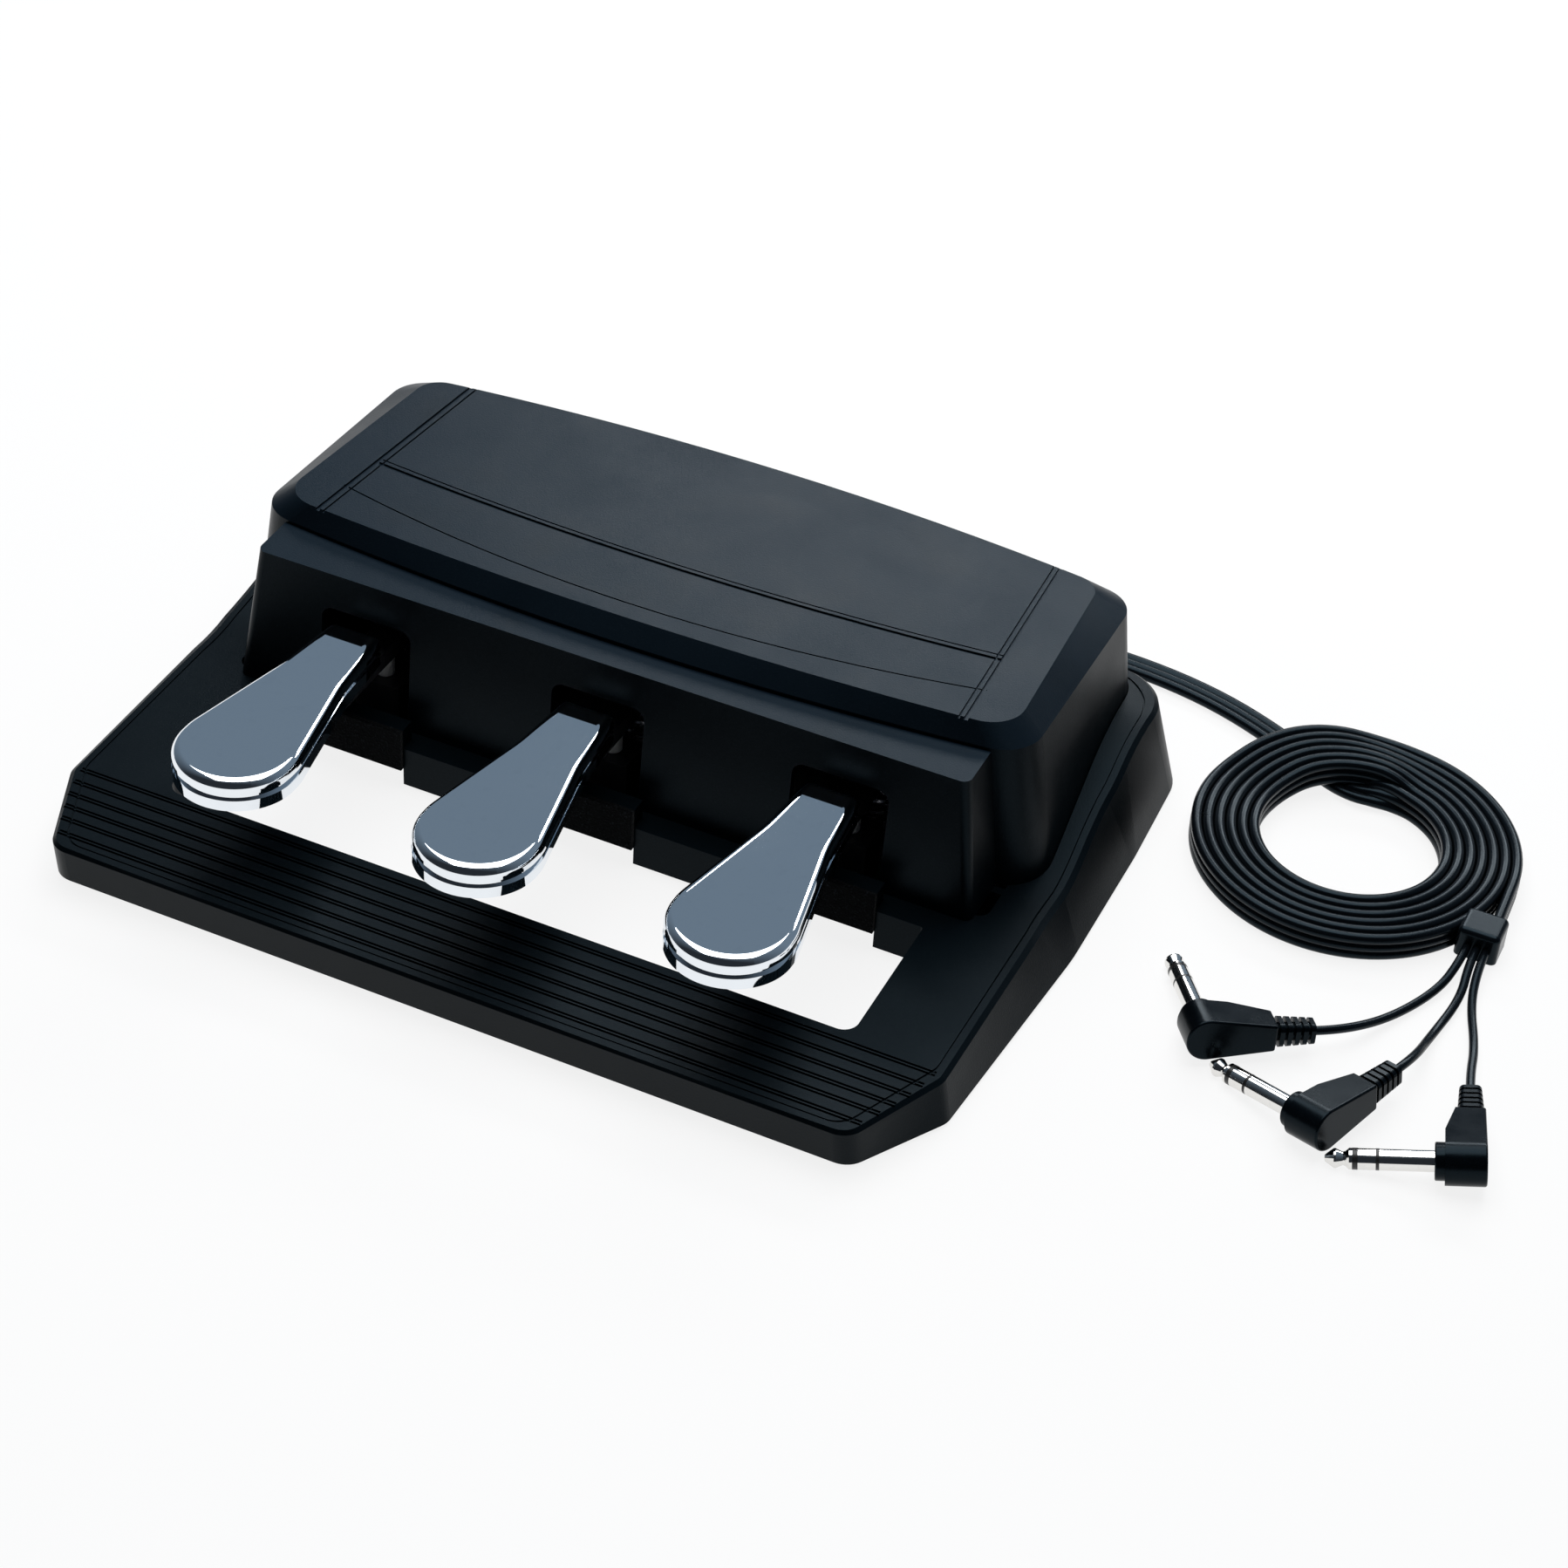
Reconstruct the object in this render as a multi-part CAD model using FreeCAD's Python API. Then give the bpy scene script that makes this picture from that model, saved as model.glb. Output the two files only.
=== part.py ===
"""Three-pedal unit for a digital piano, with its coiled ribbon cable and right-angle plugs.

Lengths are in mm. The origin is the centre of the footprint on the floor, +X to the player's
right, +Y to the rear and +Z up.
"""
import FreeCAD
import Part
import math
import os

V = FreeCAD.Vector

# Pedals and their turning
PITCH = 82.0
PEDAL_XS = {"left": -PITCH, "middle": 0.0, "right": PITCH}
PIVOT_Y = 56.0
PIVOT_Z = 36.0
PEDAL_TURN = 7.0
RUN = 0.05
GAP = 0.3

# Casing
BEYOND = 170.0
FLOOR_Z = 0.8
ARM_Z = 15.2
RIM_Z = 33.0
WALL = 2.5
WINDOW_X = 116.9
WINDOW_FRONT = -79.6
WINDOW_REAR = -26.8
STOP_HALF = 19.2
STOP_REAR = -21.1
NOTCH_Z = 7.2
NOTCH_REAR = -17.0
CAVITY_X = 132.0
CAVITY_FRONT = -14.0
CAVITY_REAR = 98.0
GROOVES = {-83.7: 145.2, -89.6: 143.9, -95.2: 142.2, -100.7: 139.9, -106.1: 137.4, -112.1: 134.4}
GROOVE_W = 0.8
GROOVE_PITCH = 1.3
GROOVE_D = 0.8
EDGE_R = 1.2
EDGE_LINE = 3.2

# Casing outline, right half from the front: x and y at the bottom, at RIM_Z, and corner radius
CASING = (
    (133.3, -116.4, 133.1, -121.8, 8.0),
    (151.3, -86.6, 144.1, -82.4, 8.0),
    (157.6, -3.0, 136.4, -3.0, 120.0),
    (157.4, 52.0, 146.4, 52.0, 120.0),
    (155.4, 103.0, 148.2, 100.2, 19.0),
    (80.0, 118.9, 77.0, 115.2, 260.0),
)

# Slope of the rim: y of its two bends, their radii, and its height at the rear
RIM_RISE = (11.7, 70.3)
RIM_RS = (96.0, 110.0)
REAR_Z = 32.2

# Upper cover
SKIN = 3.0
TILT = -0.0427
FOOT = dict(hf=141.3, hr=138.4, fm=-3.0, fs=3.4, rm=114.6, rs=102.5, cf=16.0, cr=18.0)
SHOULDER = dict(hf=133.1, hr=132.2, fm=-4.1, fs=4.5, rm=111.0, rs=100.7, cf=14.0, cr=13.0)
CROWN = dict(hf=126.4, hr=121.4, fm=1.9, fs=8.2, rm=104.2, rs=95.4, cf=12.0, cr=9.0)
SHOULDER_Z = 65.3
CROWN_Z = 71.0
BLOCK_TOP_X = 122.0
BLOCK_LOW_X = 128.6
BLOCK_TOP_Y = -14.2
BLOCK_LOW_Y = -18.2
LEDGE_Z = 64.0
BLOCK_REAR = 24.0
BLOCK_R = 3.0
SLOT_HALF = 16.0
SLOT_Z = 51.6
SLOT_R = 4.0
LINE_D = 0.7

# Pedal casting
TIP_R = 19.4
TIP_Y = -91.2
TIP_BACK = 4.0
ARM_HALF = 9.0
ARM_R = 2.0
NECK_HALF = 11.4
NECK_Y = -47.0
PEDAL_END = -20.6
PEDAL_TOP = 52.2
PEDAL_H = 10.3
PEDAL_TILT = -1.9
PEDAL_WALL = 2.6
PEDAL_R = 3.2
BAND_Z = 4.4
BAND_H = 2.2
BAND_D = 0.9

# Lever, bush and shaft
LEVER_W = 10.0
LEVER_LOW = 33.0
LEVER_H = 6.0
LEVER_FRONT = -66.0
LEVER_REAR = 96.0
HUB_R = 9.0
BUSH_R = 5.5
HUB_HALF = LEVER_W / 2 + 2.0
BUSH_HALF = HUB_HALF + 0.6
SHAFT_R = 4.0
SCREW_YS = (-56.0, -38.0)
SCREW_R = 2.0
HEAD_R = 3.6
HEAD_H = 2.2

# Plate, frame and stops
PLATE_T = 1.5
FRAME_T = 2.0
FRAME_FRONT = 8.0
FRAME_X = 112.0
EAR_T = 3.0
EAR_HALF = 12.0
EAR_IN = BUSH_HALF + 2.0
CLIP_T = 1.0
CLIP_ROOM = 2.5
CLIP_X = PITCH + EAR_IN + EAR_T + CLIP_ROOM
SHAFT_HALF = CLIP_X + CLIP_ROOM
UP_STOP_YS = (83.0, 96.0)
FELT_T = 1.5

# Spring and sensor
SPRING_Y = 20.0
SPRING_R = 6.5
WIRE = 1.6
SPRING_TURNS = 6.0
SENSOR_Y = -4.0
BOARD_Z = 4.3
BOARD_T = 1.6
HOUSING = (16.0, 14.0, 18.0)
PLUNGER_R = 3.0
PLUNGER_LOW = 14.5

# Feet and ribs
RIB_FRONT = -115.3
BAR_RIBS = 10
SIDE_BAYS = ((-76.0, -53.0), (-50.5, -27.0))
FRONT_FOOT_X = (69.0, 127.8)
FRONT_FOOT_Y = (-114.7, -104.7)
REAR_FOOT_X = (92.0, 126.0)
REAR_FOOT_Y = (87.0, 96.0)
FOOT_R = 2.5

# Ribbon, coil and cords
RIB_W = 9.6
RIB_T = 3.2
EXIT_X = 72.0
EXIT_Y = 108.0
RELIEF_HALF = 7.7
RELIEF_END = 128.0
RELIEF_TOP = 8.2
COIL_X = 217.7
COIL_Y = 86.5
COIL_R = 29.2
COIL_PITCH = 3.7
COIL_TURNS = 6
COIL_LAST = 96.0
TAIL_L = 13.0
UNDER_Z = 3.5
SPLIT_HALF = 6.8
SPLIT_SHIFT = -0.3
SPLIT_L = 11.5
SPLIT_Z = 10.6
SPLIT_SOFT = 2.0
SPLIT_LIP = 1.0
SPLIT_ROOM = 0.5
CORD_GAP = 0.1
CORD_R = 1.4
CORD_Z = 4.4
CORD_FALL = 8.0
CORD_LEAD = 9.0
CORD_STARTS = {1: -3.1, 2: -0.1, 3: 2.9}
CORD_MIDS = {
    1: ((261.8, 36.5), (252.6, 17.5)),
    2: ((269.0, 35.5), (265.6, 14.0)),
    3: ((272.4, 35.0), (279.0, 17.0)),
}

# Plugs: the shaft's measures, the moulded body's and the boot's
SLEEVE_R = 3.175
SLEEVE_L = 15.6
BAND_L = 1.0
RING_L = 5.1
RIM_BAND_L = 1.6
TIP_SHAPE = ((SLEEVE_R, 0.0), (SLEEVE_R, 0.9), (2.2, 2.0), (2.0, 2.6), (2.9, 4.6), (2.9, 5.2), (1.0, 7.8),
             (0.0, 8.0))
NOSE = 10.3
COLLAR_R = 5.6
COLLAR_L = 2.9
ELBOW_R = 6.8
BODY_BACK = 4.6
ARM_L = 20.8
ARM_FRONT = 4.1
ARM_SIDE = 4.4
BOOT_L = 12.2
BOOT_HALF = (4.0, 3.3)
BOOT_RIBS = 5
BOOT_GAP = 1.0

# Each plug's elbow, and the heading of its arm, rise of its arm and rise of its shaft in degrees
PLUGS = {
    1: (206.7, -22.4, 8.1, 32.7, -2.8, -9.1),
    2: (248.8, -43.0, 8.1, 67.3, 0.6, -9.1),
    3: (292.6, -37.3, 7.9, 105.5, -6.8, -8.8),
}


def box(x0, x1, y0, y1, z0, z1):
    """Box between two corners."""
    return Part.makeBox(x1 - x0, y1 - y0, z1 - z0, V(x0, y0, z0))


def rod(radius, start, end):
    """Cylinder between two points."""
    a = V(*start)
    d = V(*end) - a
    return Part.makeCylinder(radius, d.Length, a, d)


def fuse(shapes):
    """One shape from several."""
    first = shapes[0]
    return first.multiFuse(list(shapes[1:])) if len(shapes) > 1 else first


def arc_edge(a, m, b):
    """Arc through three points."""
    return Part.Arc(V(*a), V(*m), V(*b)).toShape()


def line_edge(a, b):
    """Straight edge, or nothing if the points meet."""
    a = V(*a)
    b = V(*b)
    return [Part.LineSegment(a, b).toShape()] if a.distanceToPoint(b) > 1e-6 else []


def rounded_ring(corners, z):
    """Closed wire from corners (x, y, radius) at height z."""
    n = len(corners)
    ends = []
    for i, (x, y, r) in enumerate(corners):
        px, py, _ = corners[i - 1]
        nx, ny, _ = corners[(i + 1) % n]
        u = V(px - x, py - y, 0).normalize()
        w = V(nx - x, ny - y, 0).normalize()
        half = u.getAngle(w) / 2
        reach = r / math.tan(half)
        middle = (u + w).normalize() * (r / math.sin(half) - r)
        ends.append(((x + u.x * reach, y + u.y * reach, z), (x + middle.x, y + middle.y, z),
                     (x + w.x * reach, y + w.y * reach, z)))
    edges = []
    for i, (a, m, b) in enumerate(ends):
        if corners[i][2] > 0:
            edges.append(arc_edge(a, m, b))
        edges += line_edge(b, ends[(i + 1) % n][0])
    return Part.Wire(edges)


def mirrored(half):
    """Right half corners with their mirror images, in order round the ring."""
    return list(half) + [(-x, y, r) for x, y, r in reversed(half)]


def prism(corners, z0, z1):
    """Straight block on rounded corners."""
    return Part.Face(rounded_ring(corners, z0)).extrude(V(0, 0, z1 - z0))


def bowed_ring(s, inset, z0):
    """Ring with bowed front and rear, on a plane that falls to the rear at TILT."""
    hf, hr = s["hf"] - inset, s["hr"] - inset
    fm, fs = s["fm"] + inset, s["fs"] + inset
    rm, rs = s["rm"] - inset, s["rs"] - inset
    slope = TILT if z0 > LEDGE_Z - SKIN - 1 else 0.0

    def lift(x, y):
        return (x, y, z0 + slope * y)

    def corner(cx, cy, radius, half, mid, toward):
        bend = (cy - mid) / half ** 2
        t = V(1, 2 * bend * cx, 0).normalize() * -1
        u = V(toward[0] - cx, toward[1] - cy, 0).normalize()
        angle = t.getAngle(u) / 2
        reach = radius / math.tan(angle)
        ax = cx + t.x * reach
        m = (t + u).normalize() * (radius / math.sin(angle) - radius)
        return ((ax, mid + bend * ax ** 2), (cx + m.x, cy + m.y),
                (cx + u.x * reach, cy + u.y * reach))

    a, m, b = corner(hf, fs, max(s["cf"] - inset, 2.0), hf, fm, (hr, rs))
    e, n, d = corner(hr, rs, max(s["cr"] - inset, 2.0), hr, rm, (hf, fs))
    edges = [
        arc_edge(lift(-a[0], a[1]), lift(0, fm), lift(*a)),
        arc_edge(lift(*a), lift(*m), lift(*b)),
    ]
    edges += line_edge(lift(*b), lift(*d))
    edges += [
        arc_edge(lift(*d), lift(*n), lift(*e)),
        arc_edge(lift(*e), lift(0, rm), lift(-e[0], e[1])),
        arc_edge(lift(-e[0], e[1]), lift(-n[0], n[1]), lift(-d[0], d[1])),
    ]
    edges += line_edge(lift(-d[0], d[1]), lift(-b[0], b[1]))
    edges.append(arc_edge(lift(-b[0], b[1]), lift(-m[0], m[1]), lift(-a[0], a[1])))
    return Part.Wire(edges)


def rim_face(drop):
    """Region above the casing's top line, in the YZ plane."""
    front, rear, top = -BEYOND, BEYOND, RIM_Z + 10
    corners = [(front, ARM_Z - drop, 0.0), (RIM_RISE[0], ARM_Z - drop, RIM_RS[0]),
               (RIM_RISE[1], REAR_Z - drop, RIM_RS[1]), (rear, REAR_Z - drop, 0.0),
               (rear, top, 0.0), (front, top, 0.0)]
    face = Part.Face(rounded_ring(corners, 0))
    face.rotate(V(0, 0, 0), V(1, 0, 0), 90)
    face.rotate(V(0, 0, 0), V(0, 0, 1), 90)
    return face


def above_rim(drop=0.0):
    """Block above the casing's top line."""
    face = rim_face(drop)
    face.translate(V(-BEYOND, 0, 0))
    return face.extrude(V(2 * BEYOND, 0, 0))


def casing_loft(inset):
    """Drafted block inside the casing's outline."""
    low = mirrored([(x - inset, y - math.copysign(inset, y) * (abs(y) > 60), r)
                    for x, y, _, _, r in CASING])
    top = mirrored([(x - inset, y - math.copysign(inset, y) * (abs(y) > 60), r)
                    for _, _, x, y, r in CASING])
    return Part.makeLoft([rounded_ring(low, FLOOR_Z), rounded_ring(top, RIM_Z)], True, True)


def shell_loft(inset=0.0, drop=0.0):
    """Main shell of the cover, drafted walls and chamfer band."""
    foot = bowed_ring(FOOT, inset, ARM_Z - drop * 2)
    shoulder = bowed_ring(SHOULDER, inset, SHOULDER_Z - drop / 2)
    crown = bowed_ring(CROWN, inset, CROWN_Z - drop)
    walls = Part.makeLoft([foot, shoulder], True, True)
    roof = Part.makeLoft([shoulder, crown], True, True)
    return walls.fuse(roof)


def block_loft(inset=0.0):
    """Front block of the cover."""
    r = max(BLOCK_R - inset, 0.8)
    low = [(BLOCK_LOW_X - inset, BLOCK_LOW_Y + inset, r), (BLOCK_LOW_X - inset, BLOCK_REAR, 0.5)]
    top = [(BLOCK_TOP_X - inset, BLOCK_TOP_Y + inset, r), (BLOCK_TOP_X - inset, BLOCK_REAR, 0.5)]
    base_z = ARM_Z - inset
    return Part.makeLoft([rounded_ring(mirrored(low), base_z),
                          rounded_ring(mirrored(top), LEDGE_Z - inset)], True, True)


def casing_top_edges(shape):
    """Outer edges of the casing's top."""
    found = []
    for edge in shape.Edges:
        limits = edge.BoundBox
        spans = limits.XLength > 1.7 * WINDOW_X and limits.YLength < 1
        inner = spans and limits.YMin > WINDOW_FRONT - WALL and limits.YMax < CAVITY_REAR - WALL
        if limits.ZMin > ARM_Z - 0.01 and not inner:
            found.append(edge)
    return found


def base_casing():
    """Lower casing with its window, cavity, grooves and ribs."""
    body = casing_loft(0.0).cut(above_rim())
    body = body.makeChamfer(EDGE_R, casing_top_edges(body))
    window = prism(mirrored([(WINDOW_X, WINDOW_FRONT, 5.0), (WINDOW_X, WINDOW_REAR, 1.0)]), -1, 40)
    cavity = prism(mirrored([(CAVITY_X, CAVITY_FRONT, 4.0), (CAVITY_X, CAVITY_REAR, 14.0)]), -1, 60)
    cuts = [window, cavity, shell_loft(-0.25, 0.0)]
    under = ARM_Z - WALL
    pitch = 2 * WINDOW_X / BAR_RIBS
    for i in range(BAR_RIBS):
        x0 = -WINDOW_X + i * pitch + WALL / 2
        cuts.append(box(x0, x0 + pitch - WALL, RIB_FRONT, WINDOW_FRONT - WALL, -1, under))
    for side in (-1, 1):
        for y0, y1 in SIDE_BAYS:
            xs = sorted((side * (WINDOW_X + WALL), side * (CASING[1][0] - 2 * WALL)))
            cuts.append(box(xs[0], xs[1], y0, y1, -1, under))
    for y, end in GROOVES.items():
        for shift in (-GROOVE_PITCH / 2, GROOVE_PITCH / 2):
            y0 = y + shift - GROOVE_W / 2
            cuts.append(box(-end, end, y0, y0 + GROOVE_W, ARM_Z - GROOVE_D, ARM_Z + 1))
    for x in PEDAL_XS.values():
        cuts.append(box(x - STOP_HALF, x + STOP_HALF, WINDOW_REAR - 1, NOTCH_REAR, -1, NOTCH_Z))
    cuts.append(box(EXIT_X - RELIEF_HALF - GAP, EXIT_X + RELIEF_HALF + GAP, CAVITY_REAR - 1, BEYOND,
                    -1, RELIEF_TOP + GAP))
    line = casing_loft(EDGE_LINE).cut(casing_loft(EDGE_LINE + 0.5)).common(above_rim(0.5))
    cuts.append(line)
    body = body.cut(fuse(cuts))
    rail = []
    for side in (-1, 1):
        x0, x1 = sorted((side * (FRONT_FOOT_X[0] - 2), side * (FRONT_FOOT_X[1] + 3)))
        rail.append(box(x0, x1, RIB_FRONT, FRONT_FOOT_Y[1] + 1.4, FLOOR_Z, FLOOR_Z + WALL))
    stops = [box(x - STOP_HALF, x + STOP_HALF, WINDOW_REAR, STOP_REAR, NOTCH_Z, stop_top())
             for x in PEDAL_XS.values()]
    return body.multiFuse(rail + stops).removeSplitter()


def turned(y, z, degrees):
    """Place in YZ of a pedal point after the pedal has turned down."""
    a = math.radians(degrees)
    dy = y - PIVOT_Y
    dz = z - PIVOT_Z
    return (PIVOT_Y + dy * math.cos(a) - dz * math.sin(a),
            PIVOT_Z + dy * math.sin(a) + dz * math.cos(a))


def stop_top():
    """Height of the down stops, just under the lever at full travel."""
    front = WINDOW_REAR - FELT_T
    lowest = turned(front - 1.0, LEVER_LOW, PEDAL_TURN)[1]
    return lowest - GAP


def upper_cover():
    """Cover with slots for the pedals and lines on its top."""
    outer = shell_loft().fuse(block_loft()).removeSplitter()
    inner = shell_loft(SKIN, SKIN).fuse(block_loft(SKIN))
    body = outer.cut(inner)
    for x in PEDAL_XS.values():
        corners = [(x + SLOT_HALF, 0.0, 0.3), (x + SLOT_HALF, SLOT_Z, SLOT_R),
                   (x - SLOT_HALF, SLOT_Z, SLOT_R), (x - SLOT_HALF, 0.0, 0.3)]
        slot = Part.Face(rounded_ring(corners, 0)).extrude(V(0, 0, BLOCK_REAR))
        slot.rotate(V(0, 0, 0), V(1, 0, 0), 90)
        slot.translate(V(0, BLOCK_TOP_Y + 2 * SKIN + SLOT_R, 0))
        body = body.cut(slot)
    return body.cut(top_lines())


def crown_at(y):
    """Height of the cover's top at y."""
    return CROWN_Z + TILT * y


def top_lines():
    """Cutters for the lines on the cover's top."""
    ends = (-BEYOND, BEYOND)
    pts = [V(-BEYOND, y, crown_at(y) - LINE_D) for y in ends]
    pts += [V(-BEYOND, y, crown_at(y) + 5) for y in reversed(ends)]
    slab = Part.Face(Part.makePolygon(pts + [pts[0]])).extrude(V(2 * BEYOND, 0, 0))
    bands = []
    for side in (-1, 1):
        for shift, width in ((0.0, 1.4), (2.6, 0.6)):
            a = V(side * (112.6 - shift), 6.0, 50)
            b = V(side * (106.9 - shift), 112.0, 50)
            w = V(side * width, 0, 0)
            bands.append(Part.Face(Part.makePolygon([a, b, b - w, a - w, a])).extrude(V(0, 0, 40)))
    for mid, edge, half, width in ((8.9, 22.6, 112.0, 0.6), (33.4, 39.6, 110.6, 1.4),
                                   (36.0, 42.4, 110.4, 0.6)):
        lower = arc_edge((-half, edge, 50), (0, mid, 50), (half, edge, 50))
        upper = arc_edge((half, edge + width, 50), (0, mid + width, 50), (-half, edge + width, 50))
        edges = [lower] + line_edge((half, edge, 50), (half, edge + width, 50)) + [upper]
        edges += line_edge((-half, edge + width, 50), (-half, edge, 50))
        bands.append(Part.Face(Part.Wire(edges)).extrude(V(0, 0, 40)))
    return fuse(bands).common(slab)


def pedal_ring(inset, z, end):
    """Outline of a pedal about x = 0."""
    r = TIP_R - inset
    c = r * (math.sqrt(2) - 1)
    right = [
        (ARM_HALF - inset, end, max(ARM_R - inset, 0.3)),
        (NECK_HALF - inset, NECK_Y, 60.0),
        (r, TIP_Y + TIP_BACK, 24.0),
        (r, TIP_Y - c, r),
        (c, TIP_Y - r, r),
    ]
    return rounded_ring(mirrored(right), z)


def pedal(x):
    """Chrome pedal casting with a step band round its skirt and two bosses beneath."""
    low = -PEDAL_H
    skirt = Part.Face(pedal_ring(0.0, low, PEDAL_END)).extrude(V(0, 0, PEDAL_H))
    skirt = skirt.makeFillet(PEDAL_R, [e for e in skirt.Edges if e.BoundBox.ZMin > -0.01])
    band = Part.Face(pedal_ring(-2.0, -BAND_Z - BAND_H, PEDAL_END + 2.0)).extrude(V(0, 0, BAND_H))
    core = Part.Face(pedal_ring(BAND_D, -PEDAL_H, PEDAL_END - BAND_D)).extrude(V(0, 0, PEDAL_H))
    skirt = skirt.cut(band.cut(core))
    hollow = Part.Face(pedal_ring(PEDAL_WALL, low - 1, PEDAL_END - PEDAL_WALL))
    skirt = skirt.cut(hollow.extrude(V(0, 0, PEDAL_H + 1 - PEDAL_WALL)))
    skirt.rotate(V(0, PEDAL_END, 0), V(1, 0, 0), PEDAL_TILT)
    skirt.translate(V(0, 0, PEDAL_TOP))
    top = PEDAL_TOP - PEDAL_WALL / 2 - 0.8
    bosses = [rod(HEAD_R + 0.6, (0, y, LEVER_LOW + LEVER_H), (0, y, top)) for y in SCREW_YS]
    web = box(-1.5, 1.5, SCREW_YS[0], SCREW_YS[1], LEVER_LOW + LEVER_H, top)
    body = skirt.multiFuse(bosses + [web])
    for y in SCREW_YS:
        body = body.cut(rod(SCREW_R, (0, y, LEVER_LOW), (0, y, LEVER_LOW + LEVER_H + 8)))
    body.translate(V(x, 0, 0))
    return body


def lever(x):
    """Steel lever with its hub round the bush."""
    top = LEVER_LOW + LEVER_H
    bar = box(-LEVER_W / 2, LEVER_W / 2, LEVER_FRONT, LEVER_REAR, LEVER_LOW, top)
    upright = [e for e in bar.Edges if e.BoundBox.ZLength > 5]
    bar = bar.makeFillet(3.0, upright)
    hub = rod(HUB_R, (-HUB_HALF, PIVOT_Y, PIVOT_Z), (HUB_HALF, PIVOT_Y, PIVOT_Z))
    body = bar.fuse(hub)
    body = body.cut(rod(BUSH_R, (-HUB_HALF - 1, PIVOT_Y, PIVOT_Z), (HUB_HALF + 1, PIVOT_Y, PIVOT_Z)))
    for y in SCREW_YS:
        body = body.cut(rod(SCREW_R + 0.3, (0, y, LEVER_LOW - 1), (0, y, top + 1)))
    body.translate(V(x, 0, 0))
    return body


def pedal_screws(x):
    """Screws from the lever up into the pedal's bosses."""
    parts = []
    for y in SCREW_YS:
        head = rod(HEAD_R, (x, y, LEVER_LOW - HEAD_H), (x, y, LEVER_LOW))
        shank = rod(SCREW_R, (x, y, LEVER_LOW), (x, y, LEVER_LOW + LEVER_H + 7))
        cross = [box(x - 1.8, x + 1.8, y - 0.4, y + 0.4, LEVER_LOW - HEAD_H - 1, LEVER_LOW - 1.2),
                 box(x - 0.4, x + 0.4, y - 1.8, y + 1.8, LEVER_LOW - HEAD_H - 1, LEVER_LOW - 1.2)]
        parts.append(head.fuse(shank).cut(fuse(cross)))
    return Part.makeCompound(parts)


def bush(x):
    """Plastic bush in the lever's hub."""
    body = rod(BUSH_R, (x - BUSH_HALF, PIVOT_Y, PIVOT_Z), (x + BUSH_HALF, PIVOT_Y, PIVOT_Z))
    bore = rod(SHAFT_R + RUN, (x - BUSH_HALF - 1, PIVOT_Y, PIVOT_Z), (x + BUSH_HALF + 1, PIVOT_Y, PIVOT_Z))
    return body.cut(bore)


def pedal_shaft():
    """Shaft for the three levers, grooved for its clips."""
    shaft = rod(SHAFT_R, (-SHAFT_HALF, PIVOT_Y, PIVOT_Z), (SHAFT_HALF, PIVOT_Y, PIVOT_Z))
    for side in (-1, 1):
        x = side * CLIP_X
        half = CLIP_T / 2 + 0.1
        ring = rod(SHAFT_R + 1, (x - half, PIVOT_Y, PIVOT_Z), (x + half, PIVOT_Y, PIVOT_Z))
        ring = ring.cut(rod(SHAFT_R - 0.8, (x - 1, PIVOT_Y, PIVOT_Z), (x + 1, PIVOT_Y, PIVOT_Z)))
        shaft = shaft.cut(ring)
    return shaft


def shaft_clips():
    """Open clips in the shaft's grooves."""
    clips = []
    for side in (-1, 1):
        x = side * CLIP_X
        half = CLIP_T / 2
        disc = rod(SHAFT_R + 3, (x - half, PIVOT_Y, PIVOT_Z), (x + half, PIVOT_Y, PIVOT_Z))
        hole = rod(SHAFT_R - 0.7, (x - 1, PIVOT_Y, PIVOT_Z), (x + 1, PIVOT_Y, PIVOT_Z))
        mouth = box(x - 1, x + 1, PIVOT_Y - SHAFT_R + 1.2, PIVOT_Y + SHAFT_R - 1.2, PIVOT_Z - HUB_R, PIVOT_Z)
        clips.append(disc.cut(hole).cut(mouth))
    return Part.makeCompound(clips)


def ear(x):
    """Upright of the pivot frame with a round head for the shaft."""
    low = FLOOR_Z + PLATE_T
    slab = box(x, x + EAR_T, PIVOT_Y - EAR_HALF, PIVOT_Y + EAR_HALF, low, PIVOT_Z)
    head = rod(EAR_HALF, (x, PIVOT_Y, PIVOT_Z), (x + EAR_T, PIVOT_Y, PIVOT_Z))
    hole = rod(SHAFT_R + 0.02, (x - 1, PIVOT_Y, PIVOT_Z), (x + EAR_T + 1, PIVOT_Y, PIVOT_Z))
    return slab.fuse(head).cut(hole)


def ear_starts():
    """Left faces of the six ears."""
    starts = []
    for x in PEDAL_XS.values():
        starts += [x - EAR_IN - EAR_T, x + EAR_IN]
    return starts


def frame_holes():
    """Places of the frame's screws."""
    return [(x, y) for x in (-PITCH * 1.25, -PITCH / 2, PITCH / 2, PITCH * 1.25) for y in (34.0, 78.0)]


def pivot_frame():
    """Bent sheet frame: base, six ears and a rear flange that carries the up stop."""
    low = FLOOR_Z + PLATE_T
    y0, y1 = UP_STOP_YS
    top = LEVER_LOW - GAP - 2 * FELT_T
    base = box(-FRAME_X, FRAME_X, FRAME_FRONT, y1, low, low + FRAME_T)
    flange = box(-FRAME_X, FRAME_X, y1 - FRAME_T, y1, low, top)
    shelf = box(-FRAME_X, FRAME_X, y0, y1, top - FRAME_T, top)
    body = base.multiFuse([flange, shelf] + [ear(x) for x in ear_starts()])
    for x in (-PITCH / 2, PITCH / 2):
        body = body.cut(prism([(x - 20, 42, 4), (x + 20, 42, 4), (x + 20, 70, 4), (x - 20, 70, 4)],
                              low - 1, low + FRAME_T + 1))
    for x, y in frame_holes():
        body = body.cut(rod(SCREW_R + 0.2, (x, y, low - 1), (x, y, low + FRAME_T + 1)))
    return body.removeSplitter()


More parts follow.
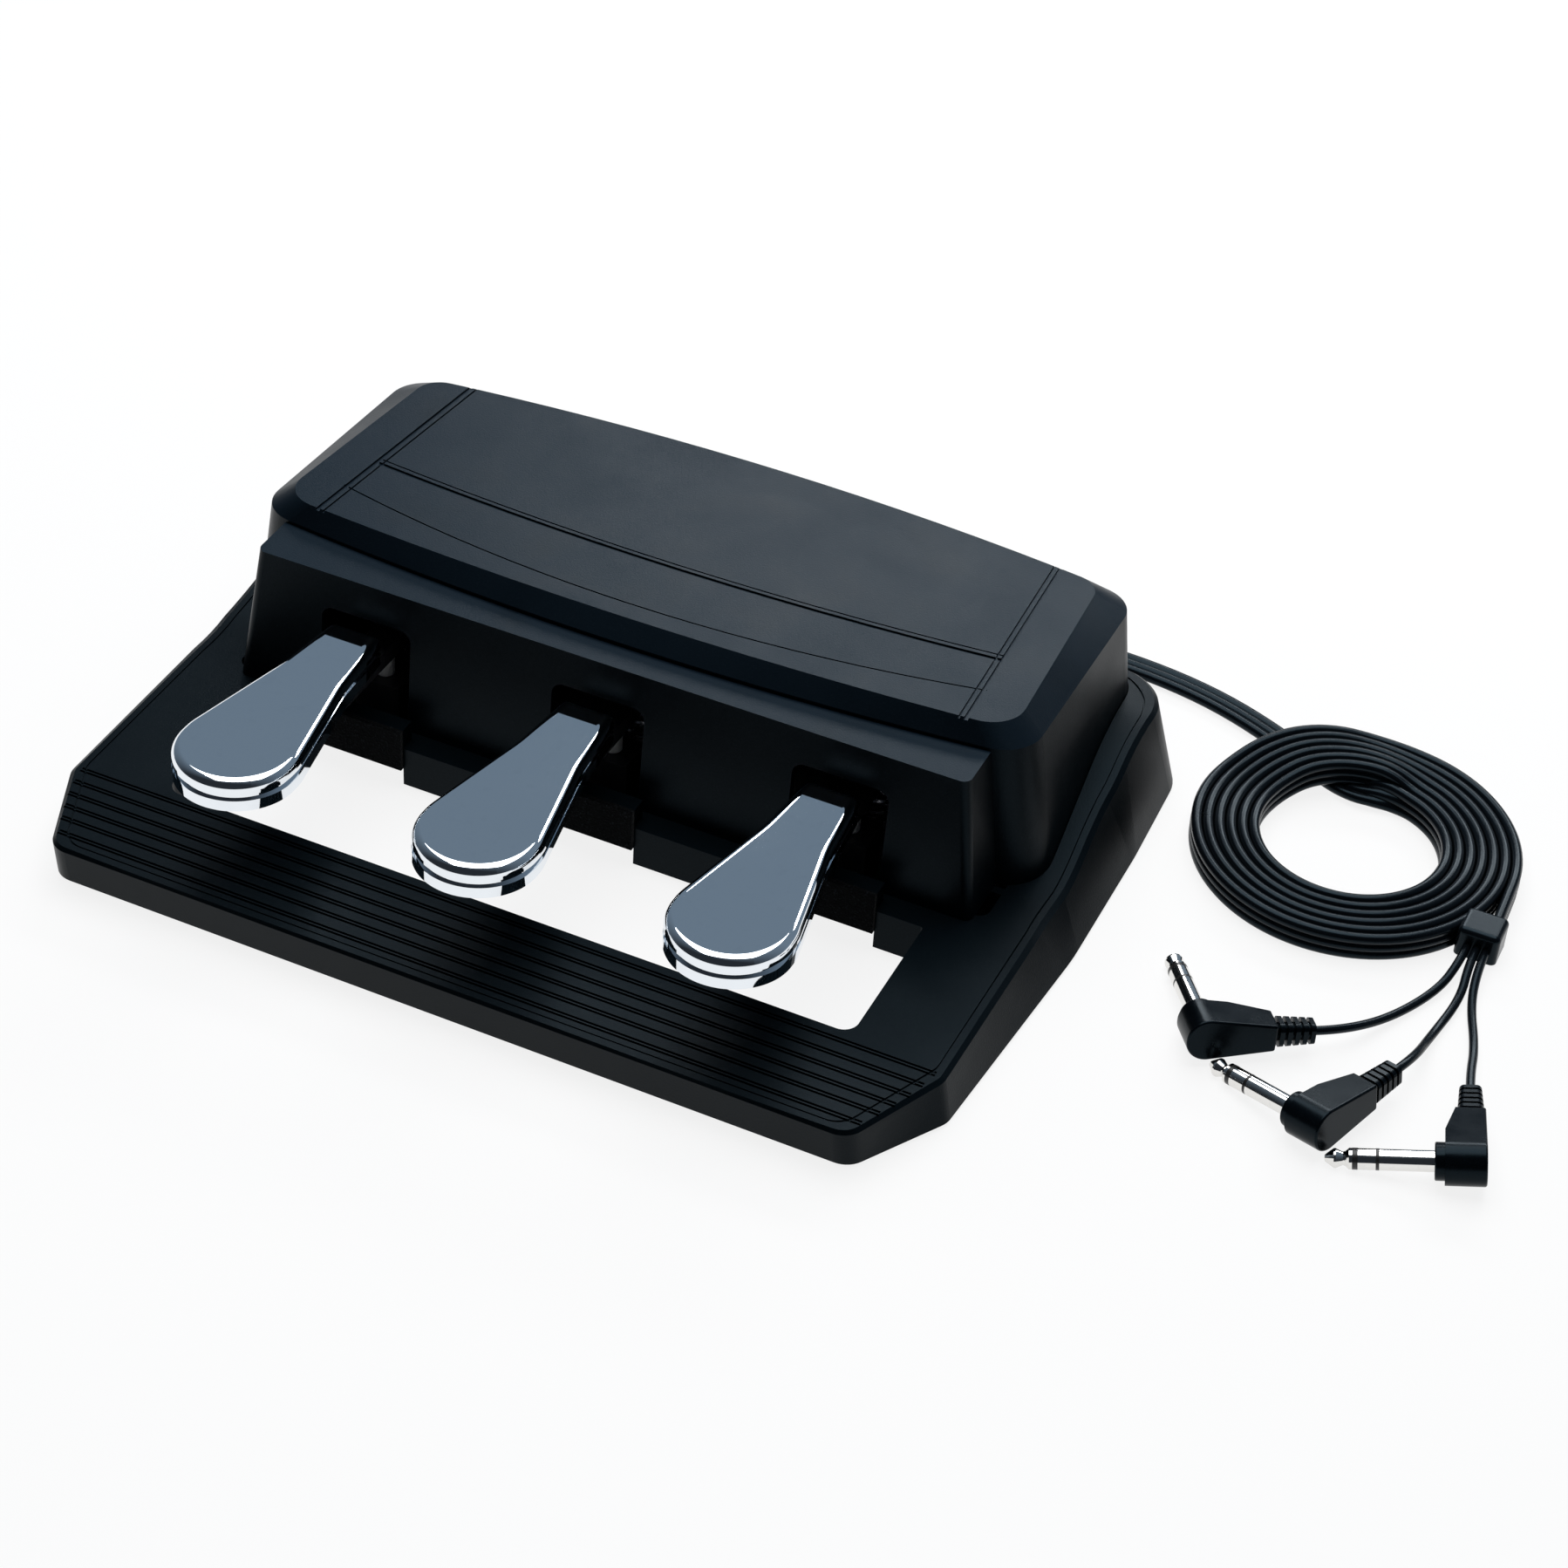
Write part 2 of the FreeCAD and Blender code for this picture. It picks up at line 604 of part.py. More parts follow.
def plate_screw_places():
    """Places of the bottom plate's screws."""
    return [(side * (CAVITY_X - 8), y) for side in (-1, 1) for y in (0.0, REAR_FOOT_Y[0] - 7)]


def bottom_plate():
    """Steel plate that closes the casing from below."""
    gap = 0.4
    corners = mirrored([(CAVITY_X - gap, CAVITY_FRONT + gap, 3.6),
                        (CAVITY_X - gap, CAVITY_REAR - gap, 13.6)])
    body = prism(corners, FLOOR_Z, FLOOR_Z + PLATE_T)
    for x, y in frame_holes() + plate_screw_places():
        body = body.cut(rod(SCREW_R + 0.2, (x, y, 0), (x, y, 5)))
    return body


def bosses():
    """Screw bosses inside the casing, one above each of the plate's screws."""
    low = FLOOR_Z + PLATE_T
    return [rod(4.5, (x, y, low), (x, y, ARM_Z)) for x, y in plate_screw_places()]


def boss_posts(casing):
    """Casing with its bosses tied to the side walls."""
    low = FLOOR_Z + PLATE_T
    ties = []
    for x, y in plate_screw_places():
        x0, x1 = sorted((x, math.copysign(CAVITY_X + 1, x)))
        ties.append(box(x0, x1, y - 1.5, y + 1.5, low, ARM_Z))
    body = casing.multiFuse(bosses() + ties)
    for x, y in plate_screw_places():
        body = body.cut(rod(SCREW_R - 0.2, (x, y, low - 1), (x, y, low + 10)))
    return body.removeSplitter()


def screws(places, shank_top):
    """Pan-head screws from below."""
    parts = []
    for x, y in places:
        head = rod(HEAD_R, (x, y, 0.2), (x, y, FLOOR_Z))
        shank = rod(SCREW_R - 0.2, (x, y, FLOOR_Z), (x, y, shank_top))
        parts.append(head.fuse(shank))
    return Part.makeCompound(parts)


def frame_screws():
    """Screws that hold the pivot frame, with nuts on top."""
    low = FLOOR_Z + PLATE_T + FRAME_T
    parts = []
    for x, y in frame_holes():
        head = rod(HEAD_R, (x, y, 0.2), (x, y, FLOOR_Z))
        shank = rod(SCREW_R, (x, y, FLOOR_Z), (x, y, low + 4))
        corners = []
        for i in range(6):
            a = math.pi / 3 * i
            corners.append(V(x + 3.8 * math.cos(a), y + 3.8 * math.sin(a), low))
        nut = Part.Face(Part.makePolygon(corners + [corners[0]])).extrude(V(0, 0, 3))
        parts.append(head.multiFuse([shank, nut]))
    return Part.makeCompound(parts)


def foot_strips(xs, ys):
    """Rubber strips on both sides, between x and y limits."""
    strips = []
    for side in (-1, 1):
        x0, x1 = sorted((side * xs[0], side * xs[1]))
        strip = box(x0, x1, ys[0], ys[1], 0.0, FLOOR_Z)
        strips.append(strip.makeFillet(FOOT_R, [e for e in strip.Edges if e.BoundBox.ZLength > FLOOR_Z / 2]))
    return Part.makeCompound(strips)


def down_stop(x):
    """Felt strip on the front of the window's rear wall, folded over its top."""
    top = stop_top()
    y0 = WINDOW_REAR - FELT_T
    front = box(x - STOP_HALF, x + STOP_HALF, y0, WINDOW_REAR, NOTCH_Z, top)
    return front.makeFillet(0.5, [e for e in front.Edges
                                  if e.BoundBox.ZMin > top - 0.01 and e.BoundBox.YMax < y0 + 0.01])


def up_stop():
    """Felt strip under the rear ends of the levers."""
    top = LEVER_LOW - GAP
    return box(-FRAME_X + 4, FRAME_X - 4, UP_STOP_YS[0] + 1, UP_STOP_YS[1] - 1, top - 2 * FELT_T, top)


def spring(x):
    """Return spring between the frame and the lever."""
    low = FLOOR_Z + PLATE_T + FRAME_T
    high = LEVER_LOW - 0.1
    rise = high - low - WIRE
    helix = Part.makeHelix(rise / SPRING_TURNS, rise, SPRING_R)
    half = WIRE / 2
    section = []
    for i in range(6):
        a = math.pi / 3 * i
        section.append(V(SPRING_R + half * math.cos(a), 0, half * math.sin(a)))
    wire = Part.makePolygon(section + [section[0]])
    coil = Part.Wire(helix.Edges).makePipeShell([wire], True, True)
    coil.translate(V(x, SPRING_Y, low + half))
    return coil


def sensor_board():
    """Circuit board under the sensors, on four standoffs."""
    low = FLOOR_Z + PLATE_T
    half = PITCH + HOUSING[0] + 2
    board = box(-half, half, SENSOR_Y - 8, SENSOR_Y + 9.5, BOARD_Z, BOARD_Z + BOARD_T)
    middles = (-PITCH / 2, PITCH / 2)
    posts = [rod(2.5, (x, SENSOR_Y, low), (x, SENSOR_Y, BOARD_Z)) for x in (5 - half, *middles, half - 5)]
    parts = [box(x - 4, x + 4, SENSOR_Y - 3, SENSOR_Y + 3, BOARD_Z + BOARD_T, BOARD_Z + BOARD_T + 2)
             for x in middles]
    return board.multiFuse(posts + parts)


def sensor_housing(x):
    """Housing that guides the plunger."""
    w, d, h = HOUSING
    low = BOARD_Z + BOARD_T
    body = box(x - w / 2, x + w / 2, SENSOR_Y - d / 2, SENSOR_Y + d / 2, low, low + h)
    body = body.makeFillet(1.5, [e for e in body.Edges if e.BoundBox.ZLength > h - 1])
    return body.cut(rod(PLUNGER_R + 0.08, (x, SENSOR_Y, low + 1), (x, SENSOR_Y, low + h + 1)))


def sensor_plunger(x):
    """Plunger with a domed end under the lever."""
    top = LEVER_LOW - GAP
    stem = rod(PLUNGER_R, (x, SENSOR_Y, PLUNGER_LOW), (x, SENSOR_Y, top - PLUNGER_R))
    dome = Part.makeSphere(PLUNGER_R, V(x, SENSOR_Y, top - PLUNGER_R), V(0, 0, 1), 0, 90, 360)
    return stem.fuse(dome).removeSplitter()


def strain_relief():
    """Clamp over the ribbon in the casing's rear wall, with flexing grooves outside."""
    body = box(EXIT_X - RELIEF_HALF, EXIT_X + RELIEF_HALF, CAVITY_REAR + 1, RELIEF_END, 0.3, RELIEF_TOP)
    body = body.makeFillet(1.5, [e for e in body.Edges if e.BoundBox.YLength > 20
                                 and e.BoundBox.ZMin > RELIEF_TOP - 0.1])
    half = RIB_W / 2 + 0.1
    body = body.cut(box(EXIT_X - half, EXIT_X + half, 90, 140, -1, RIB_T + 0.1))
    for back in (6.5, 3.5):
        y = RELIEF_END - back
        body = body.cut(box(EXIT_X - 9, EXIT_X + 9, y, y + 1.2, RELIEF_TOP - 1, RELIEF_TOP + 1))
    return body


def path_edges(points, radii, offset):
    """Straight runs joined by tangent arcs, moved sideways by offset, in plan."""
    edges = []
    last = None
    for i in range(len(points)):
        p = V(points[i][0], points[i][1], 0)
        if i in (0, len(points) - 1):
            j = 1 if i == 0 else i - 1
            d = V(points[j][0] - p.x, points[j][1] - p.y, 0).normalize()
            d = d if i == 0 else d * -1
            here = p + V(-d.y, d.x, 0) * offset
            if last is not None:
                edges += line_edge(tuple(last), tuple(here))
            last = here
            continue
        a = V(points[i - 1][0], points[i - 1][1], 0)
        b = V(points[i + 1][0], points[i + 1][1], 0)
        u = (p - a).normalize()
        w = (b - p).normalize()
        turn = u.getAngle(w)
        left = 1 if u.x * w.y - u.y * w.x > 0 else -1
        centre = p + (w - u).normalize() * (radii[i] / math.cos(turn / 2))
        r = radii[i] - left * offset
        n0 = V(-u.y, u.x, 0) * -left
        n1 = V(-w.y, w.x, 0) * -left
        mid = centre + (n0 + n1).normalize() * r
        s = centre + n0 * r
        e = centre + n1 * r
        edges += line_edge(tuple(last), tuple(s))
        edges.append(arc_edge(tuple(s), tuple(mid), tuple(e)))
        last = e
    return edges


def bend_radii(points):
    """Arc radius at each inner point, from the shorter run beside it."""
    radii = {}
    for i in range(1, len(points) - 1):
        a, p, b = (V(*points[j], 0) for j in (i - 1, i, i + 1))
        turn = (p - a).getAngle(b - p)
        short = min((p - a).Length, (b - p).Length)
        radii[i] = 0.45 * short / math.tan(turn / 2)
    return radii


def lead_points():
    """Centreline of the flat lead on the floor, from the exit to the twist."""
    return [(EXIT_X, EXIT_Y), (EXIT_X, 132.0), (92.0, 145.0), (121.0, 146.0), (150.0, 142.0),
            (176.0, 132.5), (201.0, 118.5)]


def coil_start():
    """Place and heading of the coil's inner end."""
    a = math.radians(90.0)
    return V(COIL_X + COIL_R * math.cos(a), COIL_Y + COIL_R * math.sin(a), 0), V(1, 0, 0)


def rect_wire(p, side, up, half_w, half_h):
    """Rectangle round p in the plane of side and up."""
    pts = [p + side * (i * half_w) + up * (j * half_h)
           for i, j in ((-1, -1), (1, -1), (1, 1), (-1, 1))]
    return Part.makePolygon(pts + [pts[0]])


def ribbon_lead():
    """Flat ribbon on the floor, with a twist on edge where the coil begins."""
    pts = lead_points()
    radii = bend_radii(pts)
    print("lead radii", {i: round(r, 1) for i, r in radii.items()})
    left = path_edges(pts, radii, RIB_W / 2)
    right = path_edges(pts, radii, -RIB_W / 2)
    first = line_edge(tuple(right[0].Vertexes[0].Point), tuple(left[0].Vertexes[0].Point))
    last = line_edge(tuple(left[-1].Vertexes[-1].Point), tuple(right[-1].Vertexes[-1].Point))
    ring = Part.Wire(Part.__sortEdges__(left + right + first + last))
    flat = Part.Face(ring).extrude(V(0, 0, RIB_T))
    start = V(*pts[-1], 0)
    d0 = (start - V(*pts[-2], 0)).normalize()
    end, d1 = coil_start()
    steps = 4
    sections = []
    for i in range(steps + 1):
        t = i / steps
        h = t * t * (3 - 2 * t)
        reach = (end - start).Length
        p = start * (1 - h) + end * h + (d0 * (t * (1 - t) ** 2) - d1 * (t * t * (1 - t))) * reach
        d = (d0 * (1 - t) + d1 * t).normalize()
        side = V(-d.y, d.x, 0)
        roll = math.pi / 2 * t
        a = side * math.cos(roll) + V(0, 0, 1) * math.sin(roll)
        b = V(0, 0, 1) * math.cos(roll) - side * math.sin(roll)
        low = RIB_W / 2 * abs(math.sin(roll)) + RIB_T / 2 * abs(math.cos(roll))
        sections.append(rect_wire(p + V(0, 0, low), a, b, RIB_W / 2, RIB_T / 2))
    twist = Part.makeLoft(sections, True, True)
    return flat.fuse(twist)


def coil_arcs(offset):
    """Half-turn arcs of the spiral, clockwise outwards, moved sideways by offset."""
    arcs = []
    r = COIL_R
    cx = COIL_X
    cy = COIL_Y
    angle = math.pi / 2
    count = 2 * COIL_TURNS
    for i in range(count + 1):
        sweep = math.pi if i < count else math.radians(COIL_LAST)
        ro = r + offset
        pts = []
        for k in (0, 0.5, 1):
            a = angle - sweep * k
            pts.append((cx + ro * math.cos(a), cy + ro * math.sin(a), 0))
        arcs.append(arc_edge(*pts))
        angle -= sweep
        grow = COIL_PITCH / 2
        if i < count:
            cx -= grow * math.cos(angle)
            cy -= grow * math.sin(angle)
            r += grow
    tail = V(math.sin(angle), -math.cos(angle), 0) * TAIL_L
    end = arcs[-1].Vertexes[-1].Point
    return arcs + line_edge(tuple(end), tuple(end + tail))


def ribbon_coil():
    """Ribbon wound on edge like a roll of tape, bridged where the lead passes beneath."""
    inner = coil_arcs(-RIB_T / 2)
    outer = coil_arcs(RIB_T / 2)
    first = line_edge(tuple(inner[0].Vertexes[0].Point), tuple(outer[0].Vertexes[0].Point))
    tail_in = inner[-1].Vertexes[-1].Point
    tail_out = outer[-1].Vertexes[-1].Point
    last = line_edge(tuple(tail_in), tuple(tail_out))
    ring = Part.Wire(Part.__sortEdges__(inner + outer + first + last))
    body = Part.Face(ring).extrude(V(0, 0, RIB_W))
    print("coil tail", tail_in, tail_out, "gap", round(COIL_PITCH - RIB_T, 2))
    pts = lead_points()[-3:] + [(coil_start()[0].x, coil_start()[0].y)]
    radii = bend_radii(pts)
    left = path_edges(pts, radii, RIB_W / 2 + 0.6)
    right = path_edges(pts, radii, -RIB_W / 2 - 0.6)
    a = line_edge(tuple(right[0].Vertexes[0].Point), tuple(left[0].Vertexes[0].Point))
    b = line_edge(tuple(left[-1].Vertexes[-1].Point), tuple(right[-1].Vertexes[-1].Point))
    way = Part.Face(Part.Wire(Part.__sortEdges__(left + right + a + b))).extrude(V(0, 0, UNDER_Z))
    start, heading = coil_start()
    keep = box(start.x, start.x + 60, start.y - 9, start.y + 9, -1, 20)
    return body.cut(way.cut(keep))


def coil_tail():
    """Middle of the coil's outer end."""
    e = coil_arcs(0.0)[-1].Vertexes[-1].Point
    return V(e.x, e.y, 0)


def splitter():
    """Block where the ribbon becomes three cords; it rides over the coil's next turn."""
    tail = coil_tail()
    x = tail.x + SPLIT_SHIFT
    y1 = tail.y
    body = box(x - SPLIT_HALF, x + SPLIT_HALF, y1 - SPLIT_L, y1 + SPLIT_LIP, CORD_GAP, SPLIT_Z)
    body = body.makeFillet(SPLIT_SOFT, [e for e in body.Edges if e.BoundBox.ZMax > SPLIT_Z - CORD_GAP
                                        or e.BoundBox.ZLength > SPLIT_Z - SPLIT_SOFT])
    half = RIB_T / 2 + SPLIT_ROOM
    roof = RIB_W + SPLIT_ROOM
    pocket = box(tail.x - RIB_T, tail.x + half, y1 - SPLIT_ROOM, y1 + 2 * SPLIT_LIP, -SPLIT_LIP, roof)
    turn = coil_arcs(half)[-4].Curve
    below = Part.makeCylinder(turn.Radius, roof + SPLIT_LIP, V(turn.Center.x, turn.Center.y, -SPLIT_LIP))
    return body.cut(pocket).cut(below)


def cord_starts():
    """Places where the three cords leave the splitter."""
    tail = coil_tail()
    return {key: (tail.x + across, tail.y - SPLIT_L) for key, across in CORD_STARTS.items()}


def boot_end(key):
    """Place and outward heading of a plug's cord end."""
    x, y, z, heading, rise, _ = PLUGS[key]
    a, b = math.radians(heading), math.radians(rise)
    d = V(math.cos(a) * math.cos(b), math.sin(a) * math.cos(b), math.sin(b))
    return V(x, y, z) + d * (ARM_L + BOOT_L), d


def cord_path(key):
    """Points of a cord: off the splitter, down to the floor and up into the boot."""
    sx, sy = cord_starts()[key]
    end, d = boot_end(key)
    lead = end + d * CORD_LEAD
    pts = [V(sx, sy, CORD_Z), V(sx, sy - CORD_FALL, CORD_Z)]
    pts += [V(x, y, CORD_R + CORD_GAP) for x, y in CORD_MIDS[key]]
    return pts + [lead, end]


def tube(points, radius, name):
    """Round cord along straight runs and tangent arcs."""
    edges = []
    last = points[0]
    radii = []
    for i in range(1, len(points) - 1):
        a, p, b = points[i - 1], points[i], points[i + 1]
        u = (a - p).normalize()
        w = (b - p).normalize()
        turn = math.pi - u.getAngle(w)
        short = min((a - p).Length, (b - p).Length)
        reach = 0.45 * short
        r = reach / math.tan(turn / 2)
        radii.append(round(r, 1))
        s = p + u * reach
        e = p + w * reach
        mid = p + (u + w).normalize() * (r / math.cos(turn / 2) - r)
        edges += line_edge(tuple(last), tuple(s))
        edges.append(arc_edge(tuple(s), tuple(mid), tuple(e)))
        last = e
    edges += line_edge(tuple(last), tuple(points[-1]))
    path = Part.Wire(edges)
    ring = Part.Wire(Part.makeCircle(radius, points[0], points[1] - points[0]))
    body = path.makePipeShell([ring], True, False)
    want = math.pi * radius ** 2 * path.Length
    print(name, "radii", radii, "volume ratio", round(body.Volume / want, 3))
    return body


def placed(shape, key):
    """Plug piece turned and moved to its place: arm along +X, shaft along +Y."""
    x, y, z, heading, arm_rise, shaft_rise = PLUGS[key]
    shape.rotate(V(0, 0, 0), V(1, 0, 0), shaft_rise)
    shape.rotate(V(0, 0, 0), V(0, 1, 0), -arm_rise)
    shape.rotate(V(0, 0, 0), V(0, 0, 1), heading)
    shape.translate(V(x, y, z))
    return shape


def turned_piece(profile):
    """Solid of revolution about the shaft's axis from (radius, distance) corners."""
    pts = [V(r, s, 0) for r, s in profile]
    face = Part.Face(Part.makePolygon(pts + [pts[0]]))
    return face.revolve(V(0, 0, 0), V(0, 1, 0), 360)


def boot_section(x, half):
    """Rounded square across the boot's axis."""
    ring = rounded_ring(mirrored([(half, -half, half / 2), (half, half, half / 2)]), 0)
    ring.rotate(V(0, 0, 0), V(0, 1, 0), 90)
    ring.translate(V(x, 0, 0))
    return ring


def plug_boot():
    """Ribbed boot on the arm's end."""
    end = ARM_L + BOOT_L
    boot = Part.makeLoft([boot_section(ARM_L - 1, BOOT_HALF[0]), boot_section(end, BOOT_HALF[1])], True)
    pitch = BOOT_L / BOOT_RIBS
    core = rod(BOOT_HALF[1] - 0.5, (ARM_L - 2, 0, 0), (end + 1, 0, 0))
    for i in range(BOOT_RIBS):
        x = ARM_L + i * pitch
        boot = boot.cut(box(x, x + BOOT_GAP, -7, 7, -7, 7).cut(core))
    return boot


def plug_body(key):
    """Moulded elbow, round about the shaft, with its collar, tapered arm and ribbed boot."""
    front = NOSE - COLLAR_L
    slope = (ELBOW_R - ARM_SIDE) / ARM_L
    side = ELBOW_R * (1.01 + slope)
    outline = rounded_ring([(ARM_L, -ARM_SIDE, 0.8), (ARM_L, ARM_SIDE, 0.8),
                            (-ELBOW_R, side, ELBOW_R - 0.3), (-ELBOW_R, -side, ELBOW_R - 0.3)], 0)
    block = Part.Face(outline).extrude(V(0, 0, front + BODY_BACK))
    block.rotate(V(0, 0, 0), V(1, 0, 0), 90)
    block.translate(V(0, front, 0))
    plan = [V(-ELBOW_R - 1, -BODY_BACK, -9), V(ARM_L + 1, -BODY_BACK + 0.3, -9), V(ARM_L + 1, ARM_FRONT, -9),
            V(ELBOW_R + 1, front, -9), V(-ELBOW_R - 1, front, -9)]
    slab = Part.Face(Part.makePolygon(plan + [plan[0]])).extrude(V(0, 0, 18))
    body = block.common(slab)
    rear = [e for e in body.Edges if e.BoundBox.YMax < 0.4 - BODY_BACK]
    body = body.makeFillet(0.7, rear)
    collar = rod(COLLAR_R, (0, front - 1, 0), (0, NOSE, 0))
    collar = collar.makeFillet(0.5, [e for e in collar.Edges if e.BoundBox.YMin > NOSE - 0.01])
    bore = rod(CORD_R, (ARM_L + BOOT_L - 8, 0, 0), (ARM_L + BOOT_L + 1, 0, 0))
    shape = body.multiFuse([collar, plug_boot()]).cut(bore)
    return placed(shape.removeSplitter(), key)


def cylinder_piece(start, length):
    """Length of the plug's round shaft."""
    return turned_piece([(0, start), (SLEEVE_R, start), (SLEEVE_R, start + length), (0, start + length)])


def plug_sleeve(key):
    """Sleeve contact."""
    return placed(cylinder_piece(NOSE, SLEEVE_L), key)


def plug_ring(key):
    """Ring contact."""
    return placed(cylinder_piece(NOSE + SLEEVE_L + BAND_L, RING_L), key)


def plug_insulators(key):
    """Insulating bands between the contacts."""
    first = NOSE + SLEEVE_L
    bands = [cylinder_piece(first, BAND_L), cylinder_piece(first + BAND_L + RING_L, RIM_BAND_L)]
    return placed(Part.makeCompound(bands), key)


def plug_tip(key):
    """Tip contact with its neck and point."""
    start = NOSE + SLEEVE_L + BAND_L + RING_L + RIM_BAND_L
    return placed(turned_piece([(0, start)] + [(r, start + d) for r, d in TIP_SHAPE]), key)


def build():
    """All nodes by name."""
    nodes = {
        "base_casing": boss_posts(base_casing()),
        "upper_cover": upper_cover(),
        "bottom_plate": bottom_plate(),
        "plate_screws": screws(plate_screw_places(), FLOOR_Z + PLATE_T + 8),
        "front_feet": foot_strips(FRONT_FOOT_X, FRONT_FOOT_Y),
        "rear_feet": foot_strips(REAR_FOOT_X, REAR_FOOT_Y),
        "pivot_frame": pivot_frame(),
        "frame_screws": frame_screws(),
        "pedal_shaft": pedal_shaft(),
        "shaft_clips": shaft_clips(),
        "up_stop_felt": up_stop(),
        "sensor_board": sensor_board(),
        "strain_relief": strain_relief(),
        "ribbon_lead": ribbon_lead(),
        "ribbon_coil": ribbon_coil(),
        "splitter": splitter(),
    }
    for name, x in PEDAL_XS.items():
        nodes["pedal_" + name] = pedal(x)
        nodes["lever_" + name] = lever(x)
        nodes["bush_" + name] = bush(x)
        nodes["pedal_screws_" + name] = pedal_screws(x)
        nodes["stop_felt_" + name] = down_stop(x)
        nodes["spring_" + name] = spring(x)
        nodes["sensor_housing_" + name] = sensor_housing(x)
        nodes["sensor_plunger_" + name] = sensor_plunger(x)
    for key in PLUGS:
        nodes["cord_%d" % key] = tube(cord_path(key), CORD_R, "cord_%d" % key)
        nodes["plug_body_%d" % key] = plug_body(key)
        nodes["plug_sleeve_%d" % key] = plug_sleeve(key)
        nodes["plug_ring_%d" % key] = plug_ring(key)
        nodes["plug_insulators_%d" % key] = plug_insulators(key)
        nodes["plug_tip_%d" % key] = plug_tip(key)
    return nodes


def main():
    """Build and write every node."""
    os.makedirs("parts", exist_ok=True)
    for name, shape in build().items():
        faults = "" if shape.isValid() else " NOT VALID"
        print("%-22s volume %10.1f solids %d%s" % (name, shape.Volume, len(shape.Solids), faults))
        shape.exportStep("parts/%s.step" % name)


main()
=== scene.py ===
"""Looks, cords, light and camera for a three-pedal unit of a digital piano.

Lengths are in metres, in the frame of the CAD model: +X to the player's right, +Y to the rear,
+Z up, with the floor at z = 0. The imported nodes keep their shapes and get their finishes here;
the ribbon cable and the three single cords are modelled here on the routes of their solids.
"""
import logging
import math
from dataclasses import dataclass
from enum import Enum

import bpy
from mathutils import Matrix, Vector


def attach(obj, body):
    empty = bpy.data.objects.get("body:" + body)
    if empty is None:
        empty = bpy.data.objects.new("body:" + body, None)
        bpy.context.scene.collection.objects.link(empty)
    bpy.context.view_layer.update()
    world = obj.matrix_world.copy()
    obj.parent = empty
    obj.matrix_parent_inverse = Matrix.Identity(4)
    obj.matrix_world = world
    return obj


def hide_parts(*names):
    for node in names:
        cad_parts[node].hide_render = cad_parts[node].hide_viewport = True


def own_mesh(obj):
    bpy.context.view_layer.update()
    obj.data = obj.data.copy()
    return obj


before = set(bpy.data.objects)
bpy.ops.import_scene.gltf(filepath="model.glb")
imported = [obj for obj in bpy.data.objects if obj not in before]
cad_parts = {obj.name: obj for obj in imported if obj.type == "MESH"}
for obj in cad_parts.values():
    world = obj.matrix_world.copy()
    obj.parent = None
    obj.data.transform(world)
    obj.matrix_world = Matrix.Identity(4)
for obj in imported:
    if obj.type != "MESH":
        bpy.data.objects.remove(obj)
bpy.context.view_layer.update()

LOG = logging.getLogger("pedal_unit")
Colour = tuple[float, float, float]
Point = tuple[float, float, float]
Span = tuple[float, float]
Socket = bpy.types.NodeSocket
Value = Socket | Colour | float
Feeds = dict[str | int, Value]
MM = 0.001


class Side(Enum):
    """The three pedals by their place."""

    LEFT = "left"
    MIDDLE = "middle"
    RIGHT = "right"


class Effect(Enum):
    """Shader effects that several finishes share."""

    GRAIN = "moulded_grain"
    HANDLING = "handling_marks"
    # Dust on upward faces together with painted sheen that makes them lighter.
    DUST = "dust_and_painted_sheen"


def deselect() -> None:
    """Leaves nothing selected, so that an operator acts only on its own piece."""
    bpy.ops.object.select_all(action="DESELECT")


def ease(share: float) -> float:
    """Makes an even run from 0 to 1 start and end softly."""
    return share * share * (3 - 2 * share)


